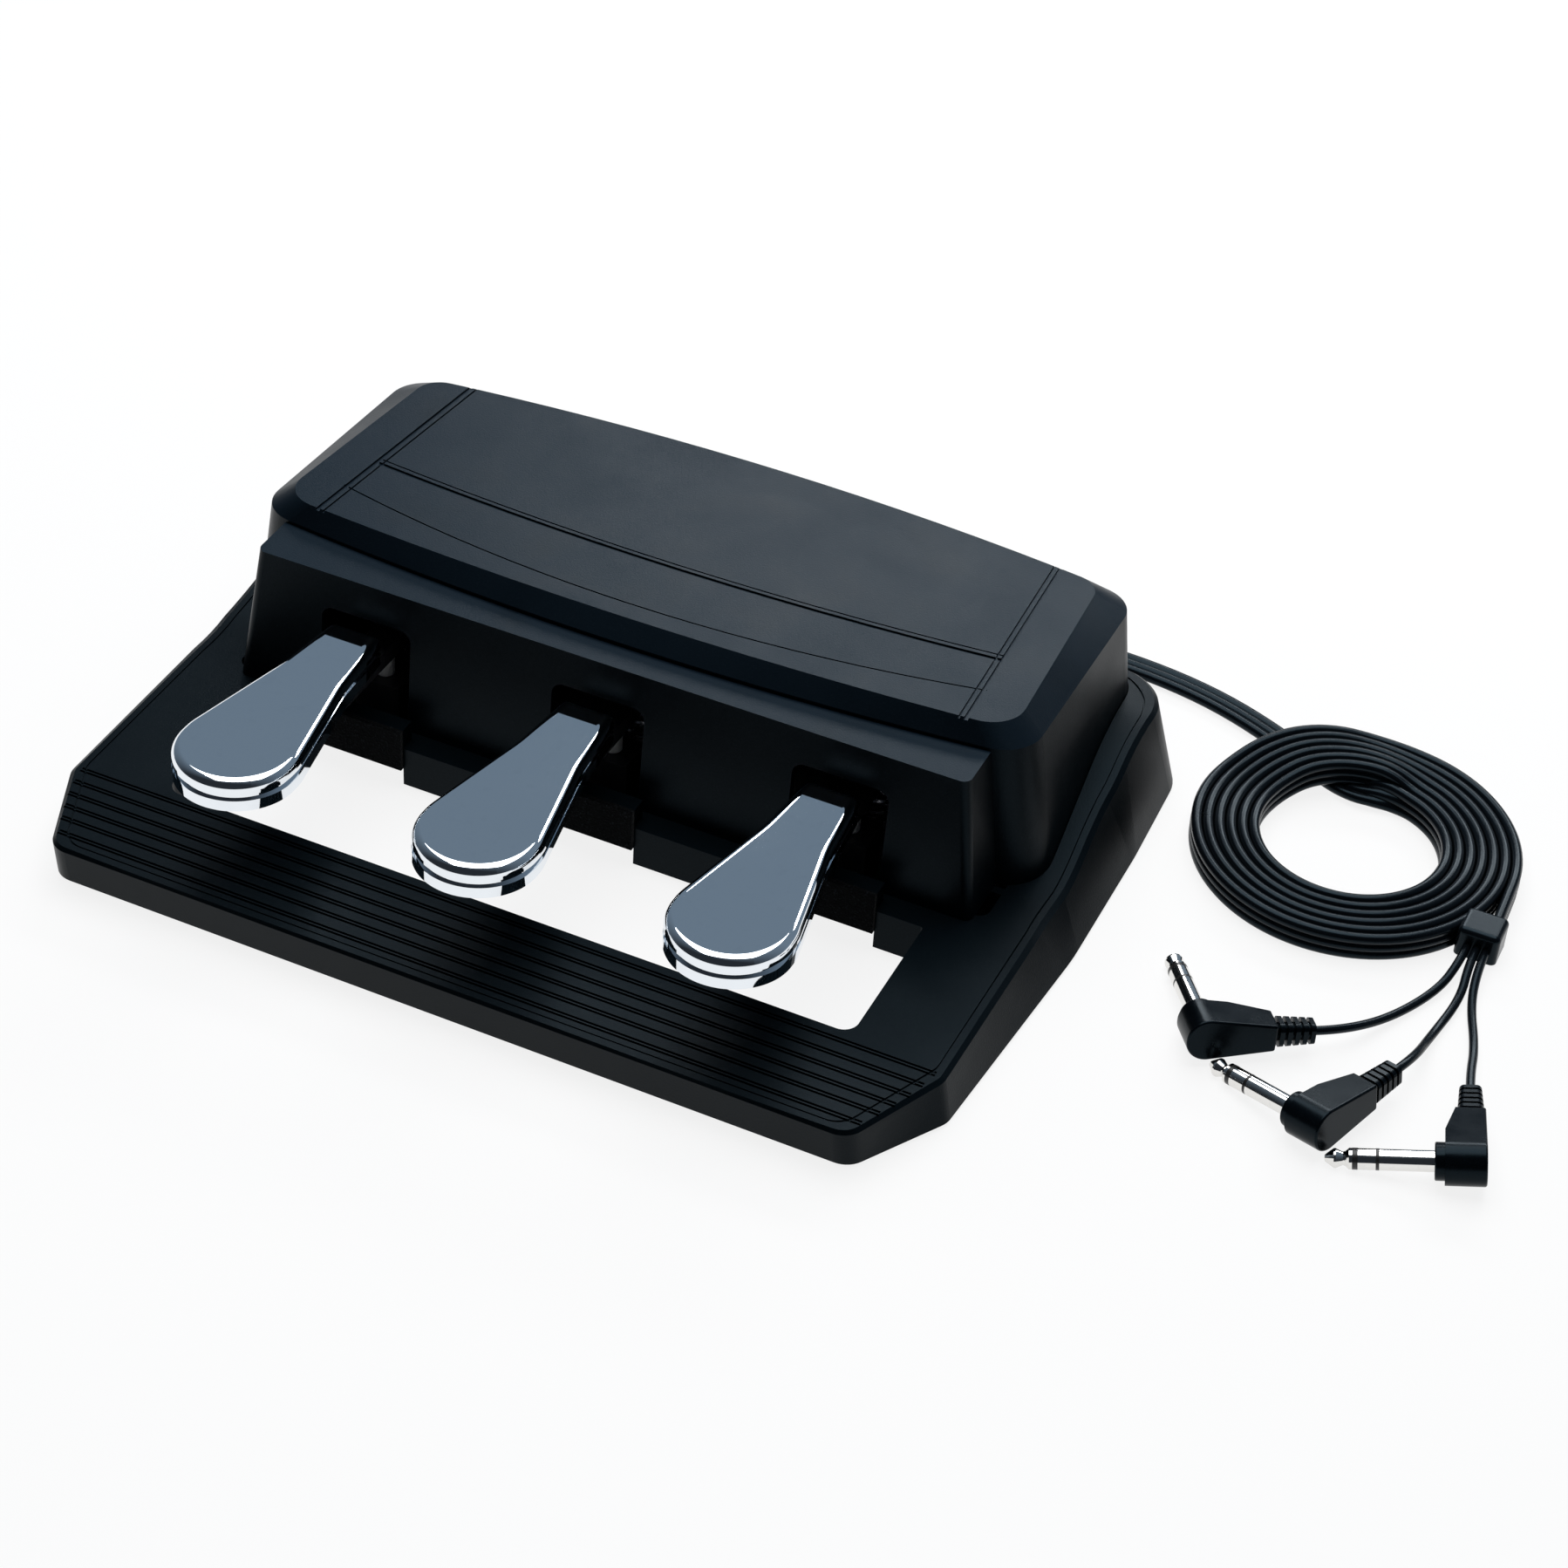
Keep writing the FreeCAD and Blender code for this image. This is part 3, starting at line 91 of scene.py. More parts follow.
class NodeTree:
    """A short way to add shader nodes and to feed their inputs.

    Attributes:
        FIRST: place of the Mix node's first colour among its inputs.
        SECOND: place of its second colour.
        BLENDED: place of the blended colour among its outputs.
    """

    FIRST = 6
    SECOND = 7
    BLENDED = 2

    def __init__(self, tree: bpy.types.NodeTree) -> None:
        """Keeps the tree.

        Args:
            tree: the tree of a material, of the world or of a node group.
        """
        self.tree = tree

    def add(self, kind: str, feeds: Feeds | None = None, **settings: object) -> bpy.types.Node:
        """Adds a node.

        Args:
            kind: the node's type without its leading words.
            feeds: what its inputs are given, by name or place.
            settings: attributes of the node.

        Returns:
            The new node.
        """
        node = self.tree.nodes.new("ShaderNode" + kind)
        for name, value in settings.items():
            setattr(node, name, value)
        for socket, value in (feeds or {}).items():
            self.feed(node.inputs[socket], value)
        return node

    def feed(self, into: Socket, value: Value) -> None:
        """Gives an input a plain value or the output of another node.

        Args:
            into: the input.
            value: a number, a colour or an output.
        """
        if isinstance(value, Socket):
            self.tree.links.new(value, into)
        elif isinstance(value, tuple):
            into.default_value = (*value, 1.0)
        else:
            into.default_value = value

    def noise(self, place: Socket, scale: Socket | float, detail: float, roughness: float = 0.5) -> Socket:
        """Adds a noise texture.

        Args:
            place: where it is read.
            scale: its scale per metre.
            detail: its octaves.
            roughness: how strong its finer octaves are.

        Returns:
            The noise.
        """
        feeds = {"Vector": place, "Scale": scale, "Detail": detail, "Roughness": roughness}
        return self.add("TexNoise", feeds).outputs["Fac"]

    def ramp(self, value: Socket, low: float, high: float, first: float = 0.0, last: float = 1.0) -> Socket:
        """Spreads the part of a value between two limits over a new span.

        Args:
            value: the value.
            low: what becomes the first end of the span.
            high: what becomes its last end.
            first: the first end.
            last: the last end.

        Returns:
            The spread value.
        """
        feeds = {"Value": value, "From Min": low, "From Max": high, "To Min": first, "To Max": last}
        return self.add("MapRange", feeds, clamp=True).outputs["Result"]

    def calculate(self, operation: str, *values: Socket | float) -> Socket:
        """Works out a value from others.

        Args:
            operation: what is done with them.
            values: the values in their order.

        Returns:
            The result.
        """
        return self.add("Math", dict(enumerate(values)), operation=operation).outputs["Value"]

    def blend(self, factor: Socket, first: Socket | Colour, second: Colour) -> Socket:
        """Blends two colours.

        Args:
            factor: 0 for the first, 1 for the second.
            first: the first colour.
            second: the second colour.

        Returns:
            The colour between them.
        """
        feeds = {"Factor": factor, self.FIRST: first, self.SECOND: second}
        return self.add("Mix", feeds, data_type="RGBA").outputs[self.BLENDED]


class GroupTree(NodeTree):
    """The tree of a node group, with what it is given and what it puts out."""

    def __init__(self, effect: Effect, given: dict[str, str], results: list[str]) -> None:
        """Makes an empty group with its sockets.

        Args:
            effect: which effect it is.
            given: socket type by input name.
            results: names of its value outputs.
        """
        super().__init__(bpy.data.node_groups.new(effect.value, "ShaderNodeTree"))
        for name, kind in given.items():
            self.tree.interface.new_socket(name, in_out="INPUT", socket_type="NodeSocket" + kind)
        for name in results:
            self.tree.interface.new_socket(name, in_out="OUTPUT", socket_type="NodeSocketFloat")
        self.given = self.tree.nodes.new("NodeGroupInput").outputs
        self.results = self.tree.nodes.new("NodeGroupOutput").inputs


@dataclass
class Effects:
    """Builds each shared effect once as a node group.

    Attributes:
        grain_detail: octaves of the grain.
        pit_depth: how far the grain's pits lower its height.
        fleck_span: grain from no fleck to a full one.
        mark_detail: octaves of the handling marks.
        mark_roughness: strength of their finer octaves.
        mark_span: noise from polished to dull.
        dust_and_sheen_scale: patches of dust and painted sheen per metre.
        dust_and_sheen_detail: octaves of the dust and painted sheen.
        dust_and_sheen_slope: upward share of the normal from none to full dust and painted sheen.
        dust_and_sheen_span: noise from none to full dust and painted sheen.
    """

    grain_detail: float = 3.0
    pit_depth: float = 0.45
    fleck_span: Span = (0.58, 0.74)
    mark_detail: float = 5.0
    mark_roughness: float = 0.62
    mark_span: Span = (0.3, 0.7)
    dust_and_sheen_scale: float = 34.0
    dust_and_sheen_detail: float = 4.0
    dust_and_sheen_slope: Span = (0.55, 0.97)
    dust_and_sheen_span: Span = (-0.15, 0.5)

    def __post_init__(self) -> None:
        """Builds the groups."""
        self.groups = {
            Effect.GRAIN: self.grain(),
            Effect.HANDLING: self.handling(),
            Effect.DUST: self.dust_and_sheen(),
        }

    def grain(self) -> bpy.types.NodeTree:
        """Fine spark-eroded texture: a height and the light flecks on its peaks.

        Returns:
            The group.
        """
        tree = GroupTree(Effect.GRAIN, {"Vector": "Vector", "Scale": "Float"}, ["Height", "Fleck"])
        place, scale = tree.given["Vector"], tree.given["Scale"]
        noise = tree.noise(place, scale, self.grain_detail)
        pits = tree.add("TexVoronoi", {"Vector": place, "Scale": scale}).outputs["Distance"]
        tree.feed(tree.results["Height"], tree.calculate("MULTIPLY_ADD", pits, -self.pit_depth, noise))
        tree.feed(tree.results["Fleck"], tree.ramp(noise, *self.fleck_span))
        return tree.tree

    def handling(self) -> bpy.types.NodeTree:
        """Broad soft patches where hands and feet have polished or dulled a surface.

        Returns:
            The group.
        """
        tree = GroupTree(Effect.HANDLING, {"Vector": "Vector", "Scale": "Float"}, ["Mask"])
        place, scale = tree.given["Vector"], tree.given["Scale"]
        noise = tree.noise(place, scale, self.mark_detail, self.mark_roughness)
        tree.feed(tree.results["Mask"], tree.ramp(noise, *self.mark_span))
        return tree.tree

    def dust_and_sheen(self) -> bpy.types.NodeTree:
        """Thin dust that lies on faces which look up, together with painted sheen: those faces are made
        lighter as if they caught the light above.

        Returns:
            The group.
        """
        tree = GroupTree(Effect.DUST, {"Vector": "Vector", "Normal": "Vector"}, ["Mask"])
        height = tree.add("SeparateXYZ", {"Vector": tree.given["Normal"]}).outputs["Z"]
        # Upward faces get the lighter colour: dust together with painted sheen.
        upward = tree.ramp(height, *self.dust_and_sheen_slope)
        noise = tree.noise(tree.given["Vector"], self.dust_and_sheen_scale, self.dust_and_sheen_detail)
        dust_and_sheen_patches = tree.ramp(noise, *self.dust_and_sheen_span)
        tree.feed(tree.results["Mask"], tree.calculate("MULTIPLY", upward, dust_and_sheen_patches))
        return tree.tree

    def place(self, tree: NodeTree, which: Effect, feeds: Feeds) -> bpy.types.bpy_prop_collection:
        """Places an effect in a material.

        Args:
            tree: the material's tree.
            which: the effect.
            feeds: what its inputs are given.

        Returns:
            Its outputs.
        """
        return tree.add("Group", feeds, node_tree=self.groups[which]).outputs


@dataclass(frozen=True)
class Finish:
    """One surface finish and the numbers of its material.

    Attributes:
        name: the material's name.
        colour: its plain colour.
        fleck: its colour on the flecks of the grain.
        roughness: middle roughness.
        spread: how far handling moves the roughness.
        metallic: 1 for bare metal.
        specular: specular level.
        coat: weight of a clear coat.
        coat_roughness: roughness of that coat.
        grain: grain size in metres.
        relief: grain height in metres.
        marks: size of the handling patches in metres.
        dust_and_sheen_colour: colour of faces that look up, partly dust and partly painted sheen that
            lightens them as if lit, or None where neither is laid on.
        sheen: weight of the cloth sheen.
        tint: colour of its reflections.
    """

    name: str
    colour: Colour
    fleck: Colour
    roughness: float
    spread: float = 0.05
    metallic: float = 0.0
    specular: float = 0.5
    coat: float = 0.0
    coat_roughness: float = 0.12
    grain: float = 0.6 * MM
    relief: float = 0.0
    marks: float = 30 * MM
    dust_and_sheen_colour: Colour | None = None
    sheen: float = 0.0
    tint: Colour = (1.0, 1.0, 1.0)

    def material(self, effects: Effects) -> bpy.types.Material:
        """Builds the material.

        Args:
            effects: the shared effect groups.

        Returns:
            The material.
        """
        made = bpy.data.materials.new(self.name)
        made.use_nodes = True
        tree = NodeTree(made.node_tree)
        inputs = made.node_tree.nodes["Principled BSDF"].inputs
        tree.feed(inputs["Metallic"], self.metallic)
        tree.feed(inputs["Specular IOR Level"], self.specular)
        tree.feed(inputs["Specular Tint"], self.tint)
        tree.feed(inputs["Coat Weight"], self.coat)
        tree.feed(inputs["Coat Roughness"], self.coat_roughness)
        tree.feed(inputs["Sheen Weight"], self.sheen)
        place = tree.add("TexCoord").outputs["Object"]
        grain = effects.place(tree, Effect.GRAIN, {"Vector": place, "Scale": 1.0 / self.grain})
        marks = effects.place(tree, Effect.HANDLING, {"Vector": place, "Scale": 1.0 / self.marks})
        colour = tree.blend(grain["Fleck"], self.colour, self.fleck)
        # Dust and painted sheen: faces that look up are blended towards a lighter, bluish colour that
        # stands in for the light they catch.
        if self.dust_and_sheen_colour is not None:
            normal = tree.add("NewGeometry").outputs["Normal"]
            dust_and_sheen = effects.place(tree, Effect.DUST, {"Vector": place, "Normal": normal})
            colour = tree.blend(dust_and_sheen["Mask"], colour, self.dust_and_sheen_colour)
        tree.feed(inputs["Base Color"], colour)
        smoothest, roughest = self.roughness - self.spread, self.roughness + self.spread
        tree.feed(inputs["Roughness"], tree.ramp(marks["Mask"], 0.0, 1.0, smoothest, roughest))
        if self.relief > 0:
            bump = tree.add("Bump", {"Strength": 1.0, "Distance": self.relief, "Height": grain["Height"]})
            tree.feed(inputs["Normal"], bump.outputs["Normal"])
        return made


BLUISH: Colour = (0.52, 0.80, 1.0)

# The lighter, bluish colours for upward faces of the casing and cover are partly dust and partly painted
# sheen, as if the tops caught the light.
CASING = Finish("casing_black", (0.0010, 0.0020, 0.0028), (0.003, 0.005, 0.007), 0.34, 0.04, specular=0.075,
                grain=0.5 * MM, relief=0.03 * MM, dust_and_sheen_colour=(0.0018, 0.0038, 0.0054), tint=BLUISH)
COVER = Finish("cover_black", (0.0010, 0.0020, 0.0030), (0.0045, 0.007, 0.0095), 0.36, 0.04, specular=0.095,
               grain=0.5 * MM, relief=0.03 * MM, dust_and_sheen_colour=(0.0055, 0.0115, 0.0190), tint=BLUISH)
CHROME = Finish("pedal_chrome", (0.84, 0.88, 0.92), (0.82, 0.86, 0.90), 0.035, 0.012, metallic=1.0,
                grain=4 * MM, marks=20 * MM)
LEVER = Finish("lever_black", (0.02, 0.02, 0.022), (0.03, 0.03, 0.032), 0.45, grain=0.8 * MM,
               relief=0.02 * MM)
ZINC = Finish("zinc_sheet", (0.60, 0.61, 0.63), (0.50, 0.52, 0.55), 0.36, 0.08, metallic=1.0,
              grain=6 * MM, relief=0.01 * MM, marks=15 * MM)
STEEL = Finish("bright_steel", (0.66, 0.66, 0.68), (0.58, 0.58, 0.60), 0.26, 0.06, metallic=1.0,
               grain=1.5 * MM, relief=0.01 * MM)
SCREW = Finish("dark_screw", (0.07, 0.07, 0.075), (0.10, 0.10, 0.11), 0.40, metallic=0.8, grain=1 * MM)
NYLON = Finish("bush_nylon", (0.80, 0.79, 0.74), (0.76, 0.75, 0.70), 0.42, grain=1 * MM, relief=0.01 * MM)
FELT = Finish("stop_felt", (0.0025, 0.003, 0.0035), (0.02, 0.024, 0.028), 0.92, 0.03, specular=0.05,
              grain=0.7 * MM, relief=0.25 * MM, sheen=0.06)
RUBBER = Finish("foot_rubber", (0.012, 0.012, 0.013), (0.02, 0.02, 0.021), 0.78, specular=0.2,
                grain=0.6 * MM, relief=0.04 * MM)
BOARD = Finish("board_green", (0.02, 0.14, 0.06), (0.03, 0.18, 0.08), 0.35, coat=0.4, grain=2 * MM)
HOUSING = Finish("housing_black", (0.022, 0.022, 0.024), (0.03, 0.03, 0.033), 0.40, grain=0.6 * MM,
                 relief=0.02 * MM)
CABLE = Finish("cable_black", (0.0026, 0.0036, 0.0050), (0.0038, 0.0050, 0.0068), 0.24, 0.04,
               specular=0.17, grain=1.2 * MM, relief=0.006 * MM, marks=12 * MM, tint=BLUISH)
PLUG = Finish("plug_black", (0.0012, 0.0020, 0.0030), (0.0024, 0.0036, 0.0050), 0.24, 0.05,
              specular=0.13, grain=1.2 * MM, relief=0.006 * MM, marks=10 * MM, tint=BLUISH)
NICKEL = Finish("plug_nickel", (0.80, 0.79, 0.77), (0.76, 0.75, 0.73), 0.10, 0.03, metallic=1.0,
                grain=2 * MM, marks=10 * MM)
BAND = Finish("plug_band", (0.012, 0.012, 0.012), (0.016, 0.016, 0.016), 0.30, grain=0.6 * MM)

NODE_FINISHES: dict[Finish, tuple[str, ...]] = {
    CASING: ("base_casing", "strain_relief"),
    COVER: ("upper_cover",),
    CHROME: ("pedal_",),
    LEVER: ("lever_",),
    ZINC: ("bottom_plate", "pivot_frame"),
    STEEL: ("pedal_shaft", "shaft_clips", "spring_"),
    SCREW: ("plate_screws", "frame_screws", "pedal_screws_"),
    NYLON: ("bush_", "sensor_plunger_"),
    FELT: ("stop_felt_", "up_stop_felt"),
    RUBBER: ("front_feet", "rear_feet"),
    BOARD: ("sensor_board",),
    HOUSING: ("sensor_housing_",),
    CABLE: ("ribbon_lead", "ribbon_coil", "cord_", "splitter"),
    PLUG: ("plug_body_",),
    NICKEL: ("plug_sleeve_", "plug_ring_", "plug_tip_"),
    BAND: ("plug_insulators_",),
}


class Wardrobe:
    """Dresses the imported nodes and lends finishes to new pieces."""

    def __init__(self) -> None:
        """Builds the effects; the materials come as they are asked for."""
        self.effects = Effects()
        self.made: dict[Finish, bpy.types.Material] = {}

    def material(self, finish: Finish) -> bpy.types.Material:
        """The material of a finish, built once.

        Args:
            finish: the finish.

        Returns:
            Its material.
        """
        if finish not in self.made:
            self.made[finish] = finish.material(self.effects)
        return self.made[finish]

    def dress(self, piece: bpy.types.Object, finish: Finish) -> None:
        """Gives a piece its only material.

        Args:
            piece: the piece.
            finish: its finish.
        """
        piece.data.materials.clear()
        piece.data.materials.append(self.material(finish))

    def finish_of(self, node: str) -> Finish:
        """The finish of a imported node, by the longest start of its name that is listed.

        Args:
            node: the node's name.

        Returns:
            Its finish.
        """
        found = [(len(start), finish) for finish, starts in NODE_FINISHES.items()
                 for start in starts if node.startswith(start)]
        return max(found, key=lambda pair: pair[0])[1]

    def dress_nodes(self) -> None:
        """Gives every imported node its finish."""
        for name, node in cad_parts.items():
            finish = self.finish_of(name)
            self.dress(node, finish)
            LOG.info("%s: %s", name, finish.name)


def smooth_route(name: str, points: list[Point], fineness: int, thickness: float = 0.0) -> bpy.types.Object:
    """Makes a smooth open curve with the points as its controls.

    Args:
        name: the object's name.
        points: the route.
        fineness: steps between two points.
        thickness: the cord's diameter, or 0 for a bare line.

    Returns:
        The curve object.
    """
    data = bpy.data.curves.new(name, "CURVE")
    data.dimensions = "3D"
    spline = data.splines.new("NURBS")
    spline.points.add(len(points) - 1)
    for control, point in zip(spline.points, points):
        control.co = (*point, 1.0)
    spline.order_u = 3
    spline.use_endpoint_u = True
    data.resolution_u = fineness
    data.bevel_depth = thickness / 2
    data.bevel_resolution = 5
    data.use_fill_caps = True
    piece = bpy.data.objects.new(name, data)
    bpy.context.scene.collection.objects.link(piece)
    return piece


def line_of(points: list[Point], fineness: int) -> list[Vector]:
    """Reads the smooth line of a route.

    Args:
        points: the route.
        fineness: steps between two points.

    Returns:
        Points along the line.
    """
    guide = smooth_route("route_guide", points, fineness)
    mesh = bpy.data.meshes.new_from_object(guide)
    bpy.data.objects.remove(guide)
    return [vertex.co.copy() for vertex in mesh.vertices]


def length_of(line: list[Vector]) -> float:
    """Adds up the steps of a line."""
    return sum((after - before).length for before, after in zip(line, line[1:]))


@dataclass
class RibbonCable:
    """The flat three-core cable: along the floor, a twist on edge, and a coil like rolled tape.

    Attributes:
        width: across the three cores.
        thick: diameter of one core, which nearly fills the step between turns.
        lead: plan of the flat part, from the housing to the twist.
        twist: plan of the point where the flat part has begun to rise.
        twist_rise: how far it has risen there.
        centre: middle of the coil.
        inner: radius of the innermost turn.
        pitch: distance between turns.
        turns: whole turns of the coil.
        last_angle: how far the last part of a turn goes, in degrees.
        tail: straight end after the coil.
        steps: controls for each turn.
        fineness: steps of the line between two controls.
        hump: how high the turns ride over the flat lead.
        hump_top: widths to each side of the lead over which the hump is level.
        hump_slope: widths over which it falls.
        hump_reach: widths past the lead's end that it goes on.
        outer_steps: steps round the free side of an outer core.
        inner_steps: steps along each side of the middle core.
        soft_angle: faces that meet at less than this are shaded smooth, in degrees.
    """

    width: float = 9.6 * MM
    thick: float = 3.66 * MM
    lead: tuple[Span, ...] = (
        (0.072, 0.108), (0.072, 0.132), (0.092, 0.145), (0.121, 0.146), (0.150, 0.142),
        (0.176, 0.1325), (0.201, 0.1185),
    )
    twist: Span = (0.2095, 0.1155)
    twist_rise: float = 1.4 * MM
    centre: Span = (0.2177, 0.0865)
    inner: float = 29.2 * MM
    pitch: float = 3.7 * MM
    turns: int = 6
    last_angle: float = 96.0
    tail: float = 13.0 * MM
    steps: int = 24
    fineness: int = 5
    hump: float = 3.6 * MM
    hump_top: float = 0.6
    hump_slope: float = 2.2
    hump_reach: float = 2.0
    outer_steps: int = 8
    inner_steps: int = 4
    soft_angle: float = 50.0

    def coil_points(self) -> list[Point]:
        """Controls of the coil, clockwise outwards from its top.

        Returns:
            The points at the height of the ribbon's middle.
        """
        points = []
        total = self.turns * 360.0 + self.last_angle
        count = round(total / 360.0 * self.steps)
        for i in range(count + 1):
            run = math.radians(total * i / count)
            radius = self.inner + self.pitch * run / (2 * math.pi)
            angle = math.pi / 2 - run
            x = self.centre[0] + radius * math.cos(angle)
            y = self.centre[1] + radius * math.sin(angle)
            points.append((x, y, self.width / 2 + self.rise(x, y, run)))
        return points

    def rise(self, x: float, y: float, run: float) -> float:
        """How far a turn is lifted where it lies over the lead.

        Args:
            x: place across.
            y: place along.
            run: angle wound so far.

        Returns:
            The lift.
        """
        end, before = Vector(self.lead[-1]), Vector(self.lead[-2])
        along = (end - before).normalized()
        off = Vector((x, y)) - end
        if run < math.pi or off.dot(along) > self.hump_reach * self.width:
            return 0.0
        aside = abs(off.x * along.y - off.y * along.x)
        past_top = max(0.0, aside - self.hump_top * self.width)
        return self.hump * ease(max(0.0, 1.0 - past_top / (self.hump_slope * self.width)))

    def route(self) -> list[Point]:
        """Controls of the whole ribbon.

        Returns:
            The points from the housing to the splitter.
        """
        low = self.thick / 2
        points = [(x, y, low) for x, y in self.lead]
        points.append((*self.twist, low + self.twist_rise))
        coil = self.coil_points()
        end, before = Vector(coil[-1]), Vector(coil[-2])
        ahead = (end - before).normalized()
        ahead.z = 0
        return points + coil + [tuple(end + ahead * self.tail)]

    def section(self) -> list[Span]:
        """Outline of the three joined cores.

        Returns:
            Points across and up, round the section.
        """
        core = self.thick / 2
        reach = self.width / 2 - core
        groove = math.acos(reach / 2 / core)
        outline = []
        for middle, first, last, steps in (
            (reach, groove - math.pi, math.pi - groove, self.outer_steps),
            (0.0, groove, math.pi - groove, self.inner_steps),
            (-reach, groove, 2 * math.pi - groove, self.outer_steps),
            (0.0, math.pi + groove, 2 * math.pi - groove, self.inner_steps),
        ):
            for i in range(steps):
                angle = first + (last - first) * i / steps
                outline.append((middle + core * math.cos(angle), core * math.sin(angle)))
        return outline

    def rolls(self, line: list[Vector]) -> list[float]:
        """How far the ribbon has turned on edge, from flat on the lead to upright in the coil.

        Args:
            line: its middle line.

        Returns:
            The angle at each point of the line.
        """
        near_lead = range(2 * self.fineness * len(self.lead))
        start = Vector((self.centre[0], self.centre[1] + self.inner))
        flat_end = min(near_lead, key=lambda i: (line[i].xy - Vector(self.lead[-1])).length)
        edge_start = min(near_lead, key=lambda i: (line[i].xy - start).length) + self.steps // 3
        shares = ((i - flat_end) / (edge_start - flat_end) for i in range(len(line)))
        return [math.pi / 2 * ease(min(1.0, max(0.0, share))) for share in shares]

    def skin(self, line: list[Vector]) -> bpy.types.Mesh:
        """Draws the section along the line and closes both ends.

        Args:
            line: the ribbon's middle line.

        Returns:
            The mesh.
        """
        outline = self.section()
        sides = len(outline)
        vertices, faces = [], []
        for i, (here, roll) in enumerate(zip(line, self.rolls(line))):
            ahead = (line[min(i + 1, len(line) - 1)] - line[max(i - 1, 0)]).normalized()
            side = Vector((0, 0, 1)).cross(ahead).normalized()
            up = ahead.cross(side)
            across = side * math.cos(roll) + up * math.sin(roll)
            through = up * math.cos(roll) - side * math.sin(roll)
            vertices += [here + across * u + through * w for u, w in outline]
        for i in range(len(line) - 1):
            for k in range(sides):
                a, b = i * sides + k, i * sides + (k + 1) % sides
                faces.append((a, b, b + sides, a + sides))
        faces.append(tuple(range(sides))[::-1])
        faces.append(tuple(range(len(vertices) - sides, len(vertices))))
        mesh = bpy.data.meshes.new("ribbon_cable")
        mesh.from_pydata(vertices, [], faces)
        return mesh

    def build(self, wardrobe: Wardrobe) -> bpy.types.Object:
        """Args:
            wardrobe: where its finish comes from.

        Returns:
            The ribbon.
        """
        line = line_of(self.route(), self.fineness)
        piece = bpy.data.objects.new("ribbon_cable", self.skin(line))
        bpy.context.scene.collection.objects.link(piece)
        deselect()
        bpy.context.view_layer.objects.active = piece
        piece.select_set(True)
        bpy.ops.object.mode_set(mode="EDIT")
        bpy.ops.mesh.select_all(action="SELECT")
        bpy.ops.mesh.normals_make_consistent(inside=False)
        bpy.ops.object.mode_set(mode="OBJECT")
        bpy.ops.object.shade_smooth_by_angle(angle=math.radians(self.soft_angle))
        wardrobe.dress(piece, CABLE)
        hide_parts("ribbon_lead", "ribbon_coil")
        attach(piece, "base")
        return piece


@dataclass
class SingleCord:
    """One round cord from the splitter to a plug.

    Attributes:
        key: the plug's number.
        route: its control points.
        diameter: the cord's diameter.
        fineness: steps of the line between two controls.
    """

    key: int
    route: list[Point]
    diameter: float = 2.8 * MM
    fineness: int = 14

    def build(self, wardrobe: Wardrobe) -> bpy.types.Object:
        """Args:
            wardrobe: where its finish comes from.

        Returns:
            The cord.
        """
        piece = smooth_route("single_cord_%d" % self.key, self.route, self.fineness, self.diameter)
        long = length_of(line_of(self.route, self.fineness))
        wardrobe.dress(piece, CABLE)
        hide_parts("cord_%d" % self.key)
        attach(piece, "base")
        LOG.info("cord %d: %.3f m", self.key, long)
        return piece


CORDS = (
    SingleCord(1, [(0.26436, 0.0567, 0.0044), (0.26436, 0.0487, 0.0044), (0.2618, 0.0365, 0.0015),
                   (0.2526, 0.0175, 0.0015), (0.2420, 0.00026, 0.00605), (0.23444, -0.00459, 0.00649)]),
    SingleCord(2, [(0.26736, 0.0567, 0.0044), (0.26736, 0.0487, 0.0044), (0.2690, 0.0355, 0.0015),
                   (0.2656, 0.0140, 0.0015), (0.26501, -0.00426, 0.00854), (0.26153, -0.01256, 0.00845)]),
    SingleCord(3, [(0.27036, 0.0567, 0.0044), (0.27036, 0.0487, 0.0044), (0.2724, 0.0350, 0.0015),
                   (0.2790, 0.0170, 0.0015), (0.28145, 0.00289, 0.00293), (0.28384, -0.00572, 0.00399)]),
)


@dataclass
class ReturnSprings:
    """The springs under the levers.

    Attributes:
        sink: how far a spring is pressed when its pedal is down; not used.
    """

    sink: float = 5.6 * MM

    def build(self) -> None:
        """Gives each spring its own copy of its mesh."""
        for side in Side:
            name = "spring_" + side.value
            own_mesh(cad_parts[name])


@dataclass(frozen=True)
class Lamp:
    """A soft rectangular lamp.

    Attributes:
        name: its name.
        place: where it hangs.
        aim: what it points at.
        size: its two sides.
        watts: its power.
    """

    name: str
    place: Point
    aim: Point
    size: Span
    watts: float

    def hang(self) -> None:
        """Hangs the lamp and turns it to what it points at."""
        data = bpy.data.lights.new(self.name, "AREA")
        data.shape = "RECTANGLE"
        data.size, data.size_y = self.size
        data.energy = self.watts
        lamp = bpy.data.objects.new(self.name, data)
        lamp.location = self.place
        lamp.rotation_euler = (Vector(self.aim) - Vector(self.place)).to_track_quat("-Z", "Y").to_euler()
        bpy.context.scene.collection.objects.link(lamp)


